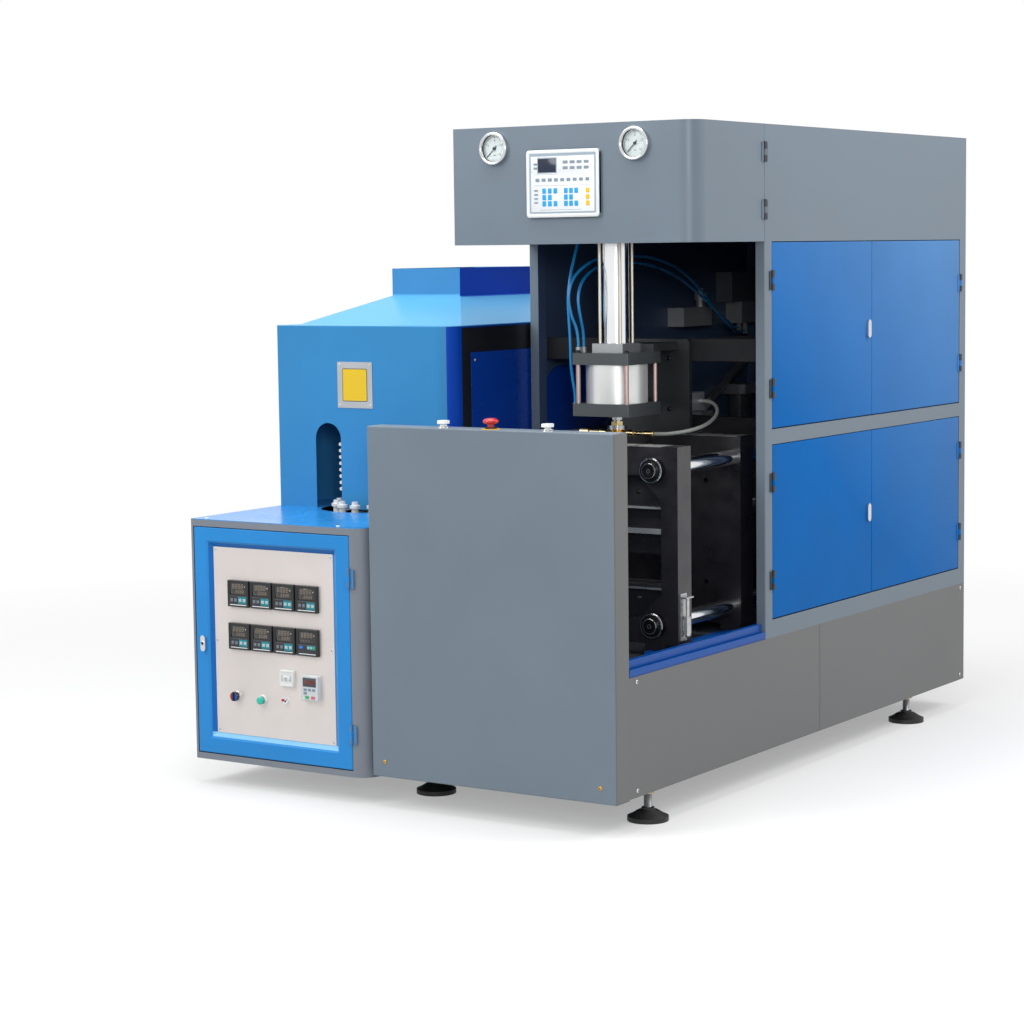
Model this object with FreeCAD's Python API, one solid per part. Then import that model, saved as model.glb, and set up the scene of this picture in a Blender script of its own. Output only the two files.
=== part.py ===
"""Semi-automatic stretch blow moulding machine with its infrared preform heater.

Axes: X to the right and Y to the rear of the blower, Z up, floor at 0, millimetres.
Sizes are written from the blower's left front corner; save() moves the finished
pieces so that the origin is the middle of the whole machine's footprint.
"""
import FreeCAD, Part
import math
import os

V = FreeCAD.Vector
X, Y, Z = V(1, 0, 0), V(0, 1, 0), V(0, 0, 1)

# ---------------------------------------------------------------- blower, overall
BLOWER_W = 749.0
BLOWER_L = 2124.0
BLOWER_H = 1780.0
SHEET = 2.0
SEAM = 2.0
RUN_GAP = 0.3
AXIS_OFFSET = 0.5
AXIS_X = BLOWER_W / 2 + AXIS_OFFSET
PAST = 1.0

# base
BASE_BOTTOM = 87.0
BASE_TOP = 393.0
BED_T = 12.0
TUBE = 60.0
TUBE_WALL = 4.0
BASE_SEAM_Y = BLOWER_L - 1010.0

# front cover in front of the clamp
COVER_D = 63.0
COVER_BOTTOM = 83.0
COVER_TOP = 1005.0
COVER_LIP = 15.0
UPRIGHT = 40.0

# levelling feet
FOOT_R = 53.5
FOOT_RIM = 12.0
FOOT_DOME = 34.0
FOOT_NECK_R = 17.0
STUD_R = 10.0
NUT_AF = 34.0
NUT_H = 14.0
FOOT_INSET = 44.0
FOOT_FRONT_Y = 225.0
FOOT_REAR_Y = BLOWER_L - 334.0

# housing behind the clamp
HOUSING_Y = 787.0
POST_W = 27.0
POST_D = 38.0
INNER_POST_W = 25.0
MULLION_W = 20.0
MULLION_D = 28.0
CANOPY_FRAME_SETBACK = 60.0
DOOR_FRONT_Y = 829.0
DOOR_SPLIT_Y = BLOWER_L - 674.0
DOOR_REAR_Y = BLOWER_L - 47.0
UPPER_DOOR = (964.0, BLOWER_H - 314.0)
LOWER_DOOR = (444.0, 919.0)
DOOR_FLANGE = 18.0
DOOR_GAP = 2.0
WINDOW_Y = (834.0, 1254.0)
WINDOW_Z = (928.0, 1122.0)
TRIM_W = 6.5
TRIM_PROUD = 5.0
LOUVRE_N = 9
LOUVRE_L = 220.0
LOUVRE_H = 8.0
LOUVRE_PITCH = 24.0

# hinges of doors and covers
LEAF_T = 2.5
LEAF_W = 16.0
LEAF_H = 50.0
KNUCKLE_R = 4.5
PIN_R = 2.5
PIN_FIT = 0.05
PIN_HEAD = 3.0

# door locks
LOCK_Y = DOOR_SPLIT_Y - 30.0
LOCK_W = 20.0
LOCK_H = 52.0
LOCK_PROUD = 9.0
LOCK_SHAFT_R = 6.0
CAM_L = 40.0
CAM_W = 14.0
CAM_T = 4.0
CAM_GAP = 3.0
FOLD_R = 3.0

# canopy over the clamp
CANOPY_Y = 415.0
CANOPY_BOTTOM = BLOWER_H - 312.0
CANOPY_R = 50.0
CANOPY_LIP = 18.0
GAUGE_X = (134.0, BLOWER_W - 179.0)
GAUGE_Z = BLOWER_H - 56.0
GAUGE_R = 43.0
GAUGE_BODY_R = 39.0
GAUGE_PROUD = 12.0
GAUGE_DEPTH = 34.0
DIAL_R = 36.0
HMI_X = (AXIS_X - 135.0, AXIS_X + 91.0)
HMI_Z = (BLOWER_H - 242.0, BLOWER_H - 65.0)
HMI_PROUD = 9.0
HMI_R = 9.0
HMI_BODY_D = 46.0
LCD_X = (HMI_X[0] + 37.0, HMI_X[0] + 93.0)
LCD_Z = (HMI_Z[1] - 59.0, HMI_Z[1] - 23.0)
LCD_SINK = 1.5

# clamp unit
PLATEN_Y = 398.0
PLATEN_T = 70.0
PLATEN_Z = (425.0, 942.0)
FRONT_PLATEN_HALF_W = BLOWER_W / 2 - 50.5
MOVING_PLATEN_Y = 806.0
MOVING_PLATEN_HALF_W = BLOWER_W / 2 - 86.5
REAR_PLATEN_Y = BLOWER_L - 644.0
REAR_PLATEN_T = 60.0
CLAMP_STROKE = 80.0
BAR_R = 22.5
BAR_DX = MOVING_PLATEN_HALF_W - 34.0
BAR_Z = (475.0, 881.0)
BAR_FIT = 0.05
BAR_NUT_R = 33.0
BAR_NUT_T = 22.0
BAR_TIP_R = 20.0
BAR_TIP_L = 8.0
POCKET_HALF_W = FRONT_PLATEN_HALF_W - 50.0
POCKET_Z = (490.0, 866.0)
POCKET_CORNER = 66.0
POCKET_DEPTH = 46.0
PLATEN_RIBS = ((566.0, 572.0, 12.0), (574.0, 580.0, 0.0), (714.0, 728.0, 0.0), (778.0, 784.0, 10.0))
SPINE_W = 18.0
SLIT_Z = (584.0, 656.0)
SLIT_INNER = 20.0
SLIT_RIM = 4.0
BACK_POCKET_D = 30.0
BACK_POCKET_CORNER = 40.0
MOULD_HOLE_DX = 2 * (BAR_DX - 74.0)
MOULD_HOLE_DZ = 280.0
MOULD_HOLE_R = 6.9
RAIL_W = 30.0
RAIL_H = 15.0
RAIL_SPARE = 30.0
SHOE_W = 60.0
ROD_R = 30.0
CYL_BORE_R = 80.0
CYL_WALL = 8.0
CYL_L = 340.0
CYL_CAP = 26.0
CYL_CAP_HALF = 100.0
PISTON_T = 30.0

# limit switch on the front platen
SWITCH_Z = (436.0, 560.0)
SWITCH_BODY_R = 9.0
SWITCH_OUT = 13.0

# racks and pinion that bring both platens to the middle together
GEAR_M = 4.0
GEAR_TEETH = 20
GEAR_ANGLE = 20.0
GEAR_BACKLASH = 0.3
GEAR_ADDENDUM = 4.0
GEAR_DEDENDUM = 5.0
RACK_Z = (402.0, 420.0)
RACK_BACK = 12.0
RACK_SPARE = 20.0
PINION_Z = (403.0, 419.0)
PINION_BORE = 8.0
PINION_SHOULDER = 14.0

# tracks on the edges of the bed for the sliding guards
TRACK_W = 27.0
TRACK_WALL = 2.5
TRACK_LOW = 20.0
TRACK_HIGH = 41.0
TRACK_Y = (66.0, 785.0)

# stretch and seal cylinders above the mould
STACK_Y = 637.0
SEAL_HALF = 88.0
SEAL_BASE_Z = (1004.0, 1038.0)
SEAL_HEAD_Z = (1143.0, 1175.0)
SEAL_R = 84.0
SEAL_BORE_R = 76.0
SEAL_ROD_R = 6.5
SEAL_ROD_INSET = 12.0
SEAL_PISTON_T = 24.0
NOZZLE_STROKE = 40.0
STEM_R = 12.0
ROD_BORE_R = 9.0
STRETCH_ROD_R = 6.0
NOZZLE_Z = 946.0
NOZZLE_R = 27.0
NOZZLE_BODY_R = 20.0
NOZZLE_BODY_H = 18.0
NOZZLE_FLANGE_T = 12.0
NOZZLE_PISTON_GAP = 6.0
STEM_NUT_AF = 27.0
STEM_NUT_H = 13.0
RING_AF = 30.0
RING_H = 11.0
FITTING_Z = 955.0
FITTING_LEFT = 100.0
FITTING_RIGHT = 96.0
STRETCH_R = 36.0
STRETCH_BORE_R = 31.5
STRETCH_TOP = BLOWER_H - 90.0
STRETCH_CAP_T = 24.0
STRETCH_CAP_HALF = 48.0
STRETCH_TIE_R = 4.0
STRETCH_TIE_DX = 32.0
STRETCH_STROKE = 330.0
STRETCH_PISTON_T = 20.0
BRACKET_Y = 817.0
BRACKET_T = 16.0
BRACKET_HALF_W = 124.0
BRACKET_Z = (946.0, 1204.0)
BRACKET_R = 10.0
BEAM_H = 60.0
ARM_T = 21.0

# air supply: blocks on the left wall, ports and hoses
VALVE_DEPTH = 58.0
VALVE_A_Y = (BLOWER_L - 560.0, BLOWER_L - 383.0)
VALVE_A_Z = (1211.0, 1269.0)
FITTING_STACK_Y = VALVE_A_Y[1] - 19.0
VALVE_B_Y = (BLOWER_L - 184.0, BLOWER_L - 89.0)
SHELF_Y = (BLOWER_L - 370.0, VALVE_B_Y[1])
SHELF_Z = (1150.0, 1168.0)
CONTROL_BOX_Y = (BLOWER_L - 250.0, VALVE_B_Y[1] + 1.0)
CONTROL_BOX_Z = (1280.0, 1375.0)
PORT_R = 7.0
PIPE_R = 13.0
PIPE_OUT = 36.0
PIPE_INSET = 17.0
PIPE_DROP = 45.0
PIPE_FOOT_INSET = 35.0
FOOT_BLOCK_HALF = 40.0
FOOT_BLOCK_Z = (892.0, 942.0)
FILTER_HALF = 44.0
FILTER_Z = (985.0, 1016.0)
BOWL_R = 38.0
BOWL_BOTTOM = 893.0
BLOW_VALVE_W = 60.0
BLOW_VALVE_D = 80.0
BLOW_VALVE_H = 50.0
HOSE_R = 4.0
NOZZLE_HOSE_R = 5.0
BEND_SHARE = 0.45
HOSE_A = ((295, 570, 1190), (295, 570, 1232), (286, 546, 1278), (284, 536, 1332), (290, 556, 1382),
          (293, 626, 1416), (279, 723, 1431), (260, 833, 1434), (241, 943, 1434), (222, 1054, 1431),
          (203, 1164, 1421), (184, 1273, 1405), (165, 1380, 1379), (147, 1485, 1343), (130, 1586, 1298),
          (114, 1672, 1252), (104, 1768, 1222), (72, 1860, 1202), (26, 1922, 1197), (26, 1975, 1197))
HOSE_B = ((300, 590, 1190), (300, 590, 1228), (304, 566, 1272), (302, 556, 1322), (300, 580, 1368),
          (288, 660, 1399), (270, 762, 1413), (252, 872, 1415), (233, 982, 1414), (214, 1092, 1406),
          (195, 1202, 1392), (176, 1310, 1372), (158, 1415, 1344), (144, 1518, 1310), (132, 1622, 1268),
          (124, 1700, 1230), (112, 1778, 1200), (82, 1858, 1186), (48, 1920, 1185), (48, 1975, 1185))
HOSE_C = ((262, 604, 1036), (262, 604, 1064), (262, 592, 1096), (262, 583, 1141), (263, 580, 1212), (262, 574, 1275),
          (261, 573, 1331), (262, 585, 1384), (263, 608, 1440), (266, 628, 1490), (272, 648, 1545),
          (279, 666, 1598), (284, 682, 1650), (286, 700, 1696), (286, 700, 1728))
HOSE_N = ((491.3, 637, 955), (526, 637, 955), (563, 662, 960), (581, 704, 966), (586, 756, 975),
          (582, 806, 988), (572, 846, 1004), (550, 876, 1019), (524, 890, 1030), (500, 890, 1030))

# hand controls on the front cover
CONTROL_Y = 25.0
START_X = (AXIS_X - 149.0, AXIS_X + 167.0)
ESTOP_X = AXIS_X - 3.0
START_R = 11.0
START_TRAVEL = 4.0
BUTTON_COLLAR = 4.0
BUTTON_COLLAR_H = 5.0
BUTTON_BODY_L = 34.0
BUTTON_BORE_L = 20.0
CAP_HALF = 12.0
CAP_Z = (10.0, 18.0)
ESTOP_R = 20.0
ESTOP_TRAVEL = 5.0

# ---------------------------------------------------------------- heater
HEATER_X = (-605.0, -15.0)
HEATER_L = 1411.0
HEATER_BOTTOM = 70.0
HEATER_TOP = 735.0
HEATER_R = 55.0
HEATER_FOOT_Y = (500.0, HEATER_L - 131.0)
TOP_LIP = 14.0
LINK_Y = (620.0, HEATER_L - 211.0)
LINK_Z = 200.0
LINK_SIDE = 60.0

CAB_DOOR_X = (-596.0, -67.0)
CAB_DOOR_Z = (89.0, 713.0)
RECESS_X = (-555.0, -110.0)
RECESS_Z = (130.0, 677.0)
RECESS_D = 13.0
PANEL_X = (-537.0, -128.0)
PANEL_Z = (147.0, 660.0)
PANEL_LEDGE = 12.0
PANEL_T = 2.0
METER = 72.0
METER_PITCH = 78.0
METER_X = -483.0
METER_Z = (500.0, 383.0)
METER_PROUD = 9.0
METER_BODY = 66.0
METER_DEPTH = 60.0
BREAKER_X = (-309.0, -262.0)
BREAKER_Z = (295.0, 339.0)
KEYPAD_X = (-232.0, -176.0)
KEYPAD_Z = (265.0, 331.0)
SELECTOR = (-466.0, 253.0)
RUN_BUTTON = (-376.0, 249.0)
TOGGLE = (-295.0, 254.0)
RUN_TRAVEL = 4.0
BEZEL_R = 11.0
BEZEL_BORE = 8.5
BEZEL_PROUD = 5.0
KNOB_PROUD = 20.0
KNOB_H = 10.0
GRIP_PROUD = 4.5
TOGGLE_R = 6.0
TOGGLE_L = 18.0
TOGGLE_TILT = 14.0
TOGGLE_PIN_R = 1.2
TOGGLE_PIN_HALF = 3.7
LATCH_X = -567.0
LATCH_Z = 393.0
LATCH_W = 16.0
LATCH_H = 44.0
LATCH_CAM_L = 34.0

HOOD_X = (-604.0, -6.0)
HOOD_Y = 393.0
HOOD_TOP = 1248.0
HOOD_R = 55.0
ARCH_W = 89.0
ARCH_TOP = 976.0
CHAIN_X = -326.0
CHAIN_FRONT_Y = 461.0
CHAIN_REAR_Y = HEATER_L - 180.0
CHAIN_R = 102.8
SPROCKET_TEETH = 13
CHUCK_N = round(((CHAIN_REAR_Y - CHAIN_FRONT_Y) / (math.pi * CHAIN_R) + 1) * SPROCKET_TEETH)
SPROCKET_R = 90.0
SPROCKET_Z = (709.0, 717.0)
ISLAND_BEAM_H = 30.0
PILLAR_R = 30.0
PILLAR_TOP = 690.0
SHAFT_R = 12.0
CHUCK_R = 15.0
CHUCK_STEM_R = 10.0
CHUCK_PIN_R = 9.0
CHUCK_COLLAR = (20.0, 28.0)
CHUCK_TAPER = 2.0
LINK_GAP = 4.5
LINK_HALF_W = 8.0
TOOTH_W = 3.0
GUIDE_T = 6.0
GUIDE_HALF_W = 6.0
GUIDE_ARM_Y = (CHAIN_FRONT_Y + 194.0, (CHAIN_FRONT_Y + CHAIN_REAR_Y) / 2, CHAIN_REAR_Y - 194.0)
GUIDE_ARM_W = 20.0
CHUCK_Z = (722.0, 760.0)
LINK_Z_RANGE = (706.0, 722.0)
SLOT_HALF = 44.0
ROOF_INSET_X = 14.0
ROOF_INSET_Y = 77.0
CHIMNEY_X = (-415.0, -177.0)
CHIMNEY_Y = (HOOD_Y + 301.0, HEATER_L - 301.0)
CHIMNEY_Z = (1327.0, 1405.0)
SIDE_FRAME_Y = 414.0
SIDE_COVER_Y = 496.0
SIDE_COVER_Z = 1175.0
PLATE_X = (-391.0, -270.0)
PLATE_Z = (1020.0, 1149.0)
LAMP_N = 8
LAMP_R = 5.0
LAMP_PITCH = 18.0
LAMP_Z = 790.0
LAMP_Y = (CHAIN_FRONT_Y - 40.0, CHAIN_REAR_Y - 31.0)
LAMP_DX = 70.0
LAMP_POST_HALF = 55.0
LAMP_POST_T = 16.0

# ---------------------------------------------------------------- screws
SCREW_R = 5.0
SCREW_H = 2.5
SIDE_SCREW_Y = (COVER_D + 37.0, BLOWER_L - 30.0)
SIDE_SCREW_Z = (BASE_BOTTOM + 17.0, BASE_TOP - 14.0)
COVER_SCREW_X = (39.0, BLOWER_W - 48.0)
COVER_SCREW_Z = COVER_BOTTOM + 40.0
TOP_SCREW_X = (HEATER_X[0] + 40.0, HEATER_X[1] - 100.0)
TOP_SCREW_Y = 20.0

# footprint centre: heater's side to the right feet, front hinge barrels to the rear wall
ORIGIN = V((HEATER_X[0] + BLOWER_W - FOOT_INSET + FOOT_R) / 2, (BLOWER_L - 2 * KNUCKLE_R) / 2, 0)

AXIS = V(AXIS_X, STACK_Y, 0)

# where each hose leaves and where it ends
PORT_H = 15.0
PORTS_A = ((AXIS_X - 80.0, STACK_Y - 67.0, SEAL_HEAD_Z[1] + PORT_H),
           (SHEET + 24.0, VALVE_B_Y[0] + 35.0, VALVE_A_Z[0] - 14.0))
PORTS_B = ((AXIS_X - 75.0, STACK_Y - 47.0, SEAL_HEAD_Z[1] + PORT_H),
           (SHEET + 46.0, VALVE_B_Y[0] + 35.0, VALVE_A_Z[0] - 26.0))
PORTS_C = ((AXIS_X - SEAL_HALF - 25.0, STACK_Y - 33.0, sum(SEAL_BASE_Z) / 2 + PORT_H),
           (AXIS_X - 89.0, STACK_Y + 63.0, BLOWER_H - 52.0))
PORTS_N = ((AXIS_X + NOZZLE_BODY_R + FITTING_RIGHT + RUN_GAP, STACK_Y, FITTING_Z),
           (AXIS_X + 125.0, BRACKET_Y + BRACKET_T + 57.0, BRACKET_Z[0] + 84.0))


# ---------------------------------------------------------------- small tools
def box(x, y, z):
    """Block between two corners, given as (low, high) pairs."""
    return Part.makeBox(x[1] - x[0], y[1] - y[0], z[1] - z[0], V(x[0], y[0], z[0]))


def rod(radius, start, end):
    """Round bar between two points."""
    return Part.makeCylinder(radius, (end - start).Length, start, end - start)


def fuse(*shapes):
    """One piece out of several that meet or overlap."""
    return shapes[0].multiFuse(list(shapes[1:])).removeSplitter()


def cut(shape, *tools):
    """The shape without its cut-outs."""
    return shape.cut(list(tools))


def hexagon(across_flats, start, height):
    """Hexagonal prism standing on start."""
    corner = across_flats / math.sqrt(3)
    points = [start + V(corner * math.cos(math.radians(60 * k)), corner * math.sin(math.radians(60 * k)), 0)
              for k in range(7)]
    return Part.Face(Part.makePolygon(points)).extrude(V(0, 0, height))


def rounded(shape, radius, direction, where):
    """Rounds the edges along a direction whose middle passes the test."""
    picked = [e for e in shape.Edges
              if abs(e.tangentAt(e.FirstParameter).dot(direction)) > 0.999
              and isinstance(e.Curve, Part.Line)
              and where(e.CenterOfMass)]
    return shape.makeFillet(radius, picked)


def flat(points):
    """Face inside a closed outline of points."""
    return Part.Face(Part.makePolygon(points + points[:1]))


def turned(profile, start, direction=Z):
    """Solid of revolution: profile is (radius, height) pairs along the axis."""
    points = [V(r, 0, h) for r, h in profile]
    solid = flat(points).revolve(V(0, 0, 0), Z, 360)
    solid.Placement = FreeCAD.Placement(start, FreeCAD.Rotation(Z, direction))
    return solid


def stadium(low, high, radius, height):
    """Upright prism with two half-round ends, along Y."""
    a, b = low + V(0, 0, 0), high + V(0, 0, 0)
    body = Part.makeBox(2 * radius, (b - a).Length, height, a - V(radius, 0, 0))
    return fuse(body, Part.makeCylinder(radius, height, a), Part.makeCylinder(radius, height, b))


def save(node, *solids):
    """Writes one node, moved to the machine's own origin."""
    shape = solids[0] if len(solids) == 1 else Part.makeCompound(list(solids))
    shape = shape.copy()
    shape.translate(ORIGIN * -1)
    os.makedirs("parts", exist_ok=True)
    shape.exportStep("parts/" + node + ".step")
    return shape


# ---------------------------------------------------------------- feet
def foot(x, y, frame_z):
    """Levelling foot: bell pad, stud and lock nut under the frame."""
    pad = turned([(0, 0), (FOOT_R, 0), (FOOT_R, FOOT_RIM), (FOOT_NECK_R + 6, FOOT_DOME - 8),
                  (FOOT_NECK_R, FOOT_DOME - 4), (FOOT_NECK_R, FOOT_DOME), (0, FOOT_DOME)], V(x, y, 0))
    stud = rod(STUD_R, V(x, y, FOOT_DOME), V(x, y, frame_z))
    nut = cut(hexagon(NUT_AF, V(x, y, frame_z - NUT_H), NUT_H),
              rod(STUD_R, V(x, y, frame_z - NUT_H), V(x, y, frame_z)))
    return [pad, stud, nut]


def levelling_feet():
    solids = []
    for x in (FOOT_INSET, BLOWER_W - FOOT_INSET):
        for y in (FOOT_FRONT_Y, FOOT_REAR_Y):
            solids += foot(x, y, BASE_BOTTOM)
    for x in (HEATER_X[0] + FOOT_INSET + FOOT_R, HEATER_X[1] - FOOT_INSET - FOOT_R):
        for y in HEATER_FOOT_Y:
            solids += foot(x, y, HEATER_BOTTOM)
    save("levelling_feet", *solids)


# ---------------------------------------------------------------- base
def square_tube(x, y, z):
    """Hollow section running along its longest side."""
    outer = box(x, y, z)
    spans = [x[1] - x[0], y[1] - y[0], z[1] - z[0]]
    long_side = spans.index(max(spans))
    inner = [(a[0] + TUBE_WALL, a[1] - TUBE_WALL) for a in (x, y, z)]
    inner[long_side] = ((x, y, z)[long_side][0] - 1, (x, y, z)[long_side][1] + 1)
    return cut(outer, box(*inner))


def base_frame():
    """Welded frame of square tube with the machined bed plate on top."""
    x = (SHEET, BLOWER_W - SHEET)
    y = (COVER_D, BLOWER_L - SHEET)
    low = (BASE_BOTTOM, BASE_BOTTOM + TUBE)
    bed_z = (BASE_TOP - BED_T, BASE_TOP)
    rails = [square_tube((a, a + TUBE), y, low) for a in (x[0], x[1] - TUBE)]
    cross_y = (y[0], FOOT_FRONT_Y - TUBE / 2, BASE_SEAM_Y - TUBE / 2, FOOT_REAR_Y - TUBE / 2, y[1] - TUBE)
    cross = [square_tube((x[0] + TUBE, x[1] - TUBE), (b, b + TUBE), low) for b in cross_y]
    posts = [square_tube((a, a + TUBE), (b, b + TUBE), (low[1], bed_z[0]))
             for a in (x[0], x[1] - TUBE) for b in (y[0], BASE_SEAM_Y - TUBE / 2, y[1] - TUBE)]
    bed = box(x, y, bed_z)
    gap = (SHEET, SHEET + UPRIGHT)
    uprights = [box((a, a + UPRIGHT), gap, (COVER_BOTTOM + 20, COVER_TOP - SHEET))
                for a in (60, BLOWER_W - 60 - UPRIGHT)]
    struts = [box((a, a + UPRIGHT), (SHEET + UPRIGHT, COVER_D), low)
              for a in (60, BLOWER_W - 60 - UPRIGHT)]
    save("base_frame", fuse(bed, *rails, *cross, *posts, *uprights, *struts))


def base_panels():
    """Screwed sheets round the base: two on the right, one left, one rear."""
    z = (BASE_BOTTOM, BASE_TOP)
    right = (BLOWER_W - SHEET, BLOWER_W)
    front = box(right, (COVER_D, BASE_SEAM_Y - SEAM / 2), z)
    back = box(right, (BASE_SEAM_Y + SEAM / 2, BLOWER_L - SHEET), z)
    left = box((0, SHEET), (COVER_D, BLOWER_L - SHEET), z)
    rear = box((0, BLOWER_W), (BLOWER_L - SHEET, BLOWER_L), z)
    save("base_panels", front, back, left, rear)


def bed_tracks():
    """Guide rails under the platens, and the double-groove tracks of the sliding guards."""
    def track(outer_x, inward):
        step = (TRACK_W - TRACK_WALL) / 2
        floor = (BASE_TOP, BASE_TOP + TRACK_WALL)
        pieces = [box(sorted((outer_x, outer_x + inward * TRACK_W)), TRACK_Y, floor)]
        for offset, height in ((0, TRACK_LOW), (step, TRACK_HIGH), (2 * step, TRACK_HIGH)):
            x = sorted((outer_x + inward * offset, outer_x + inward * (offset + TRACK_WALL)))
            pieces.append(box(x, TRACK_Y, (BASE_TOP, BASE_TOP + height)))
        return fuse(*pieces)

    rear_end = REAR_PLATEN_Y + REAR_PLATEN_T + CLAMP_STROKE + RAIL_SPARE
    rails = [box((x - RAIL_W / 2, x + RAIL_W / 2), (PLATEN_Y - RAIL_SPARE, rear_end),
                 (BASE_TOP, BASE_TOP + RAIL_H)) for x in (AXIS_X - BAR_DX, AXIS_X + BAR_DX)]
    save("bed_tracks", track(BLOWER_W, -1), track(0, 1), *rails)


def front_cover():
    """Folded tray in front of the clamp, open at the back."""
    outer = box((0, BLOWER_W), (0, COVER_D), (COVER_BOTTOM, COVER_TOP))
    for direction in (Z, X):
        outer = rounded(outer, FOLD_R, direction, lambda p: p.y < FOLD_R)
    inner = box((SHEET, BLOWER_W - SHEET), (SHEET, COVER_D + 1), (COVER_BOTTOM + SHEET, COVER_TOP - SHEET))
    shell = cut(outer, inner)
    lip_z = (COVER_BOTTOM + SHEET, COVER_TOP - SHEET)
    lips = [box((SHEET, SHEET + COVER_LIP), (COVER_D - SHEET, COVER_D), lip_z),
            box((BLOWER_W - SHEET - COVER_LIP, BLOWER_W - SHEET), (COVER_D - SHEET, COVER_D), lip_z)]
    holes = [rod(START_R, V(x, CONTROL_Y, COVER_TOP - SHEET - 1), V(x, CONTROL_Y, COVER_TOP + 1))
             for x in START_X + (ESTOP_X,)]
    save("front_cover", cut(fuse(shell, *lips), *holes))


# ---------------------------------------------------------------- housing
def housing_frame():
    """Posts and rails inside the sheets, and the beams that carry the canopy and the cylinders."""
    left = (SHEET, POST_W)
    right = (BLOWER_W - POST_W, BLOWER_W - SHEET)
    front = (HOUSING_Y + SHEET, HOUSING_Y + SHEET + POST_D)
    back = (BLOWER_L - SHEET - POST_D, BLOWER_L - SHEET)
    full = (BASE_TOP, BLOWER_H - SHEET)
    top = (BLOWER_H - SHEET - POST_D, BLOWER_H - SHEET)
    bars = [box(x, y, full) for x in (left, right) for y in (front, back)]

    canopy_y = CANOPY_Y + CANOPY_FRAME_SETBACK
    for x in (left, (right[0], right[1] - SEAM)):
        bars.append(box(x, (canopy_y, back[1]), top))
    hanger_y = (STACK_Y + STRETCH_CAP_HALF, STACK_Y + STRETCH_CAP_HALF + POST_D)
    for y in ((canopy_y, canopy_y + POST_D), hanger_y, front, back):
        bars.append(box((left[0], right[0] + SEAM), y, top))
    drop_x = (AXIS_X - STRETCH_CAP_HALF, AXIS_X + STRETCH_CAP_HALF)
    bars.append(box(drop_x, (hanger_y[0], hanger_y[0] + ARM_T / 2), (STRETCH_TOP, top[0])))

    bars.append(box(right, (front[1], back[0]), (LOWER_DOOR[1] + DOOR_GAP, UPPER_DOOR[0] - DOOR_GAP)))
    bars.append(box(left, (front[1], back[0]), (WINDOW_Z[0] - 2 * POST_D, WINDOW_Z[0] - POST_D)))
    stop = BLOWER_W - DOOR_FLANGE - DOOR_GAP
    bars.append(box((stop - MULLION_W, stop), (DOOR_SPLIT_Y - MULLION_D / 2, DOOR_SPLIT_Y + MULLION_D / 2), full))

    beam_y = (BRACKET_Y + BRACKET_T, BRACKET_Y + BRACKET_T + POST_D)
    beam_z = (BRACKET_Z[1] - BEAM_H, BRACKET_Z[1])
    bars.append(box((left[0], right[0]), beam_y, beam_z))
    bars.append(box((right[0] - INNER_POST_W, right[0]), beam_y, full))
    bars.append(box(left, (front[1], beam_y[1]), beam_z))
    save("housing_frame", fuse(*bars))


def door_opening(z, grow=DOOR_GAP):
    return box((BLOWER_W - SHEET - 1, BLOWER_W + 1), (DOOR_FRONT_Y - grow, DOOR_REAR_Y + grow),
               (z[0] - grow, z[1] + grow))


def housing_side_right():
    """Right side sheet with the two door openings and a folded front edge."""
    z = (BASE_TOP, BLOWER_H - SHEET)
    sheet = box((BLOWER_W - SHEET, BLOWER_W), (HOUSING_Y, BLOWER_L - SHEET), z)
    fold = box((BLOWER_W - POST_W, BLOWER_W), (HOUSING_Y, HOUSING_Y + SHEET), (z[0], z[1] - POST_D))
    side = rounded(fuse(sheet, fold), FOLD_R, Z, lambda p: p.x > BLOWER_W - 1 and p.y < HOUSING_Y + 1)
    side = cut(side, door_opening(UPPER_DOOR), door_opening(LOWER_DOOR))
    save("housing_side_right", side)


def window_hole(grow):
    """Long round-ended window through the left wall."""
    r = (WINDOW_Z[1] - WINDOW_Z[0]) / 2
    mid = (WINDOW_Z[0] + WINDOW_Z[1]) / 2
    ends = (WINDOW_Y[0] + r, WINDOW_Y[1] - r)
    x = (-TRIM_PROUD, SHEET + TRIM_PROUD)
    discs = [rod(r + grow, V(x[0], y, mid), V(x[1], y, mid)) for y in ends]
    return fuse(box(x, ends, (mid - r - grow, mid + r + grow)), *discs)


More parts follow.
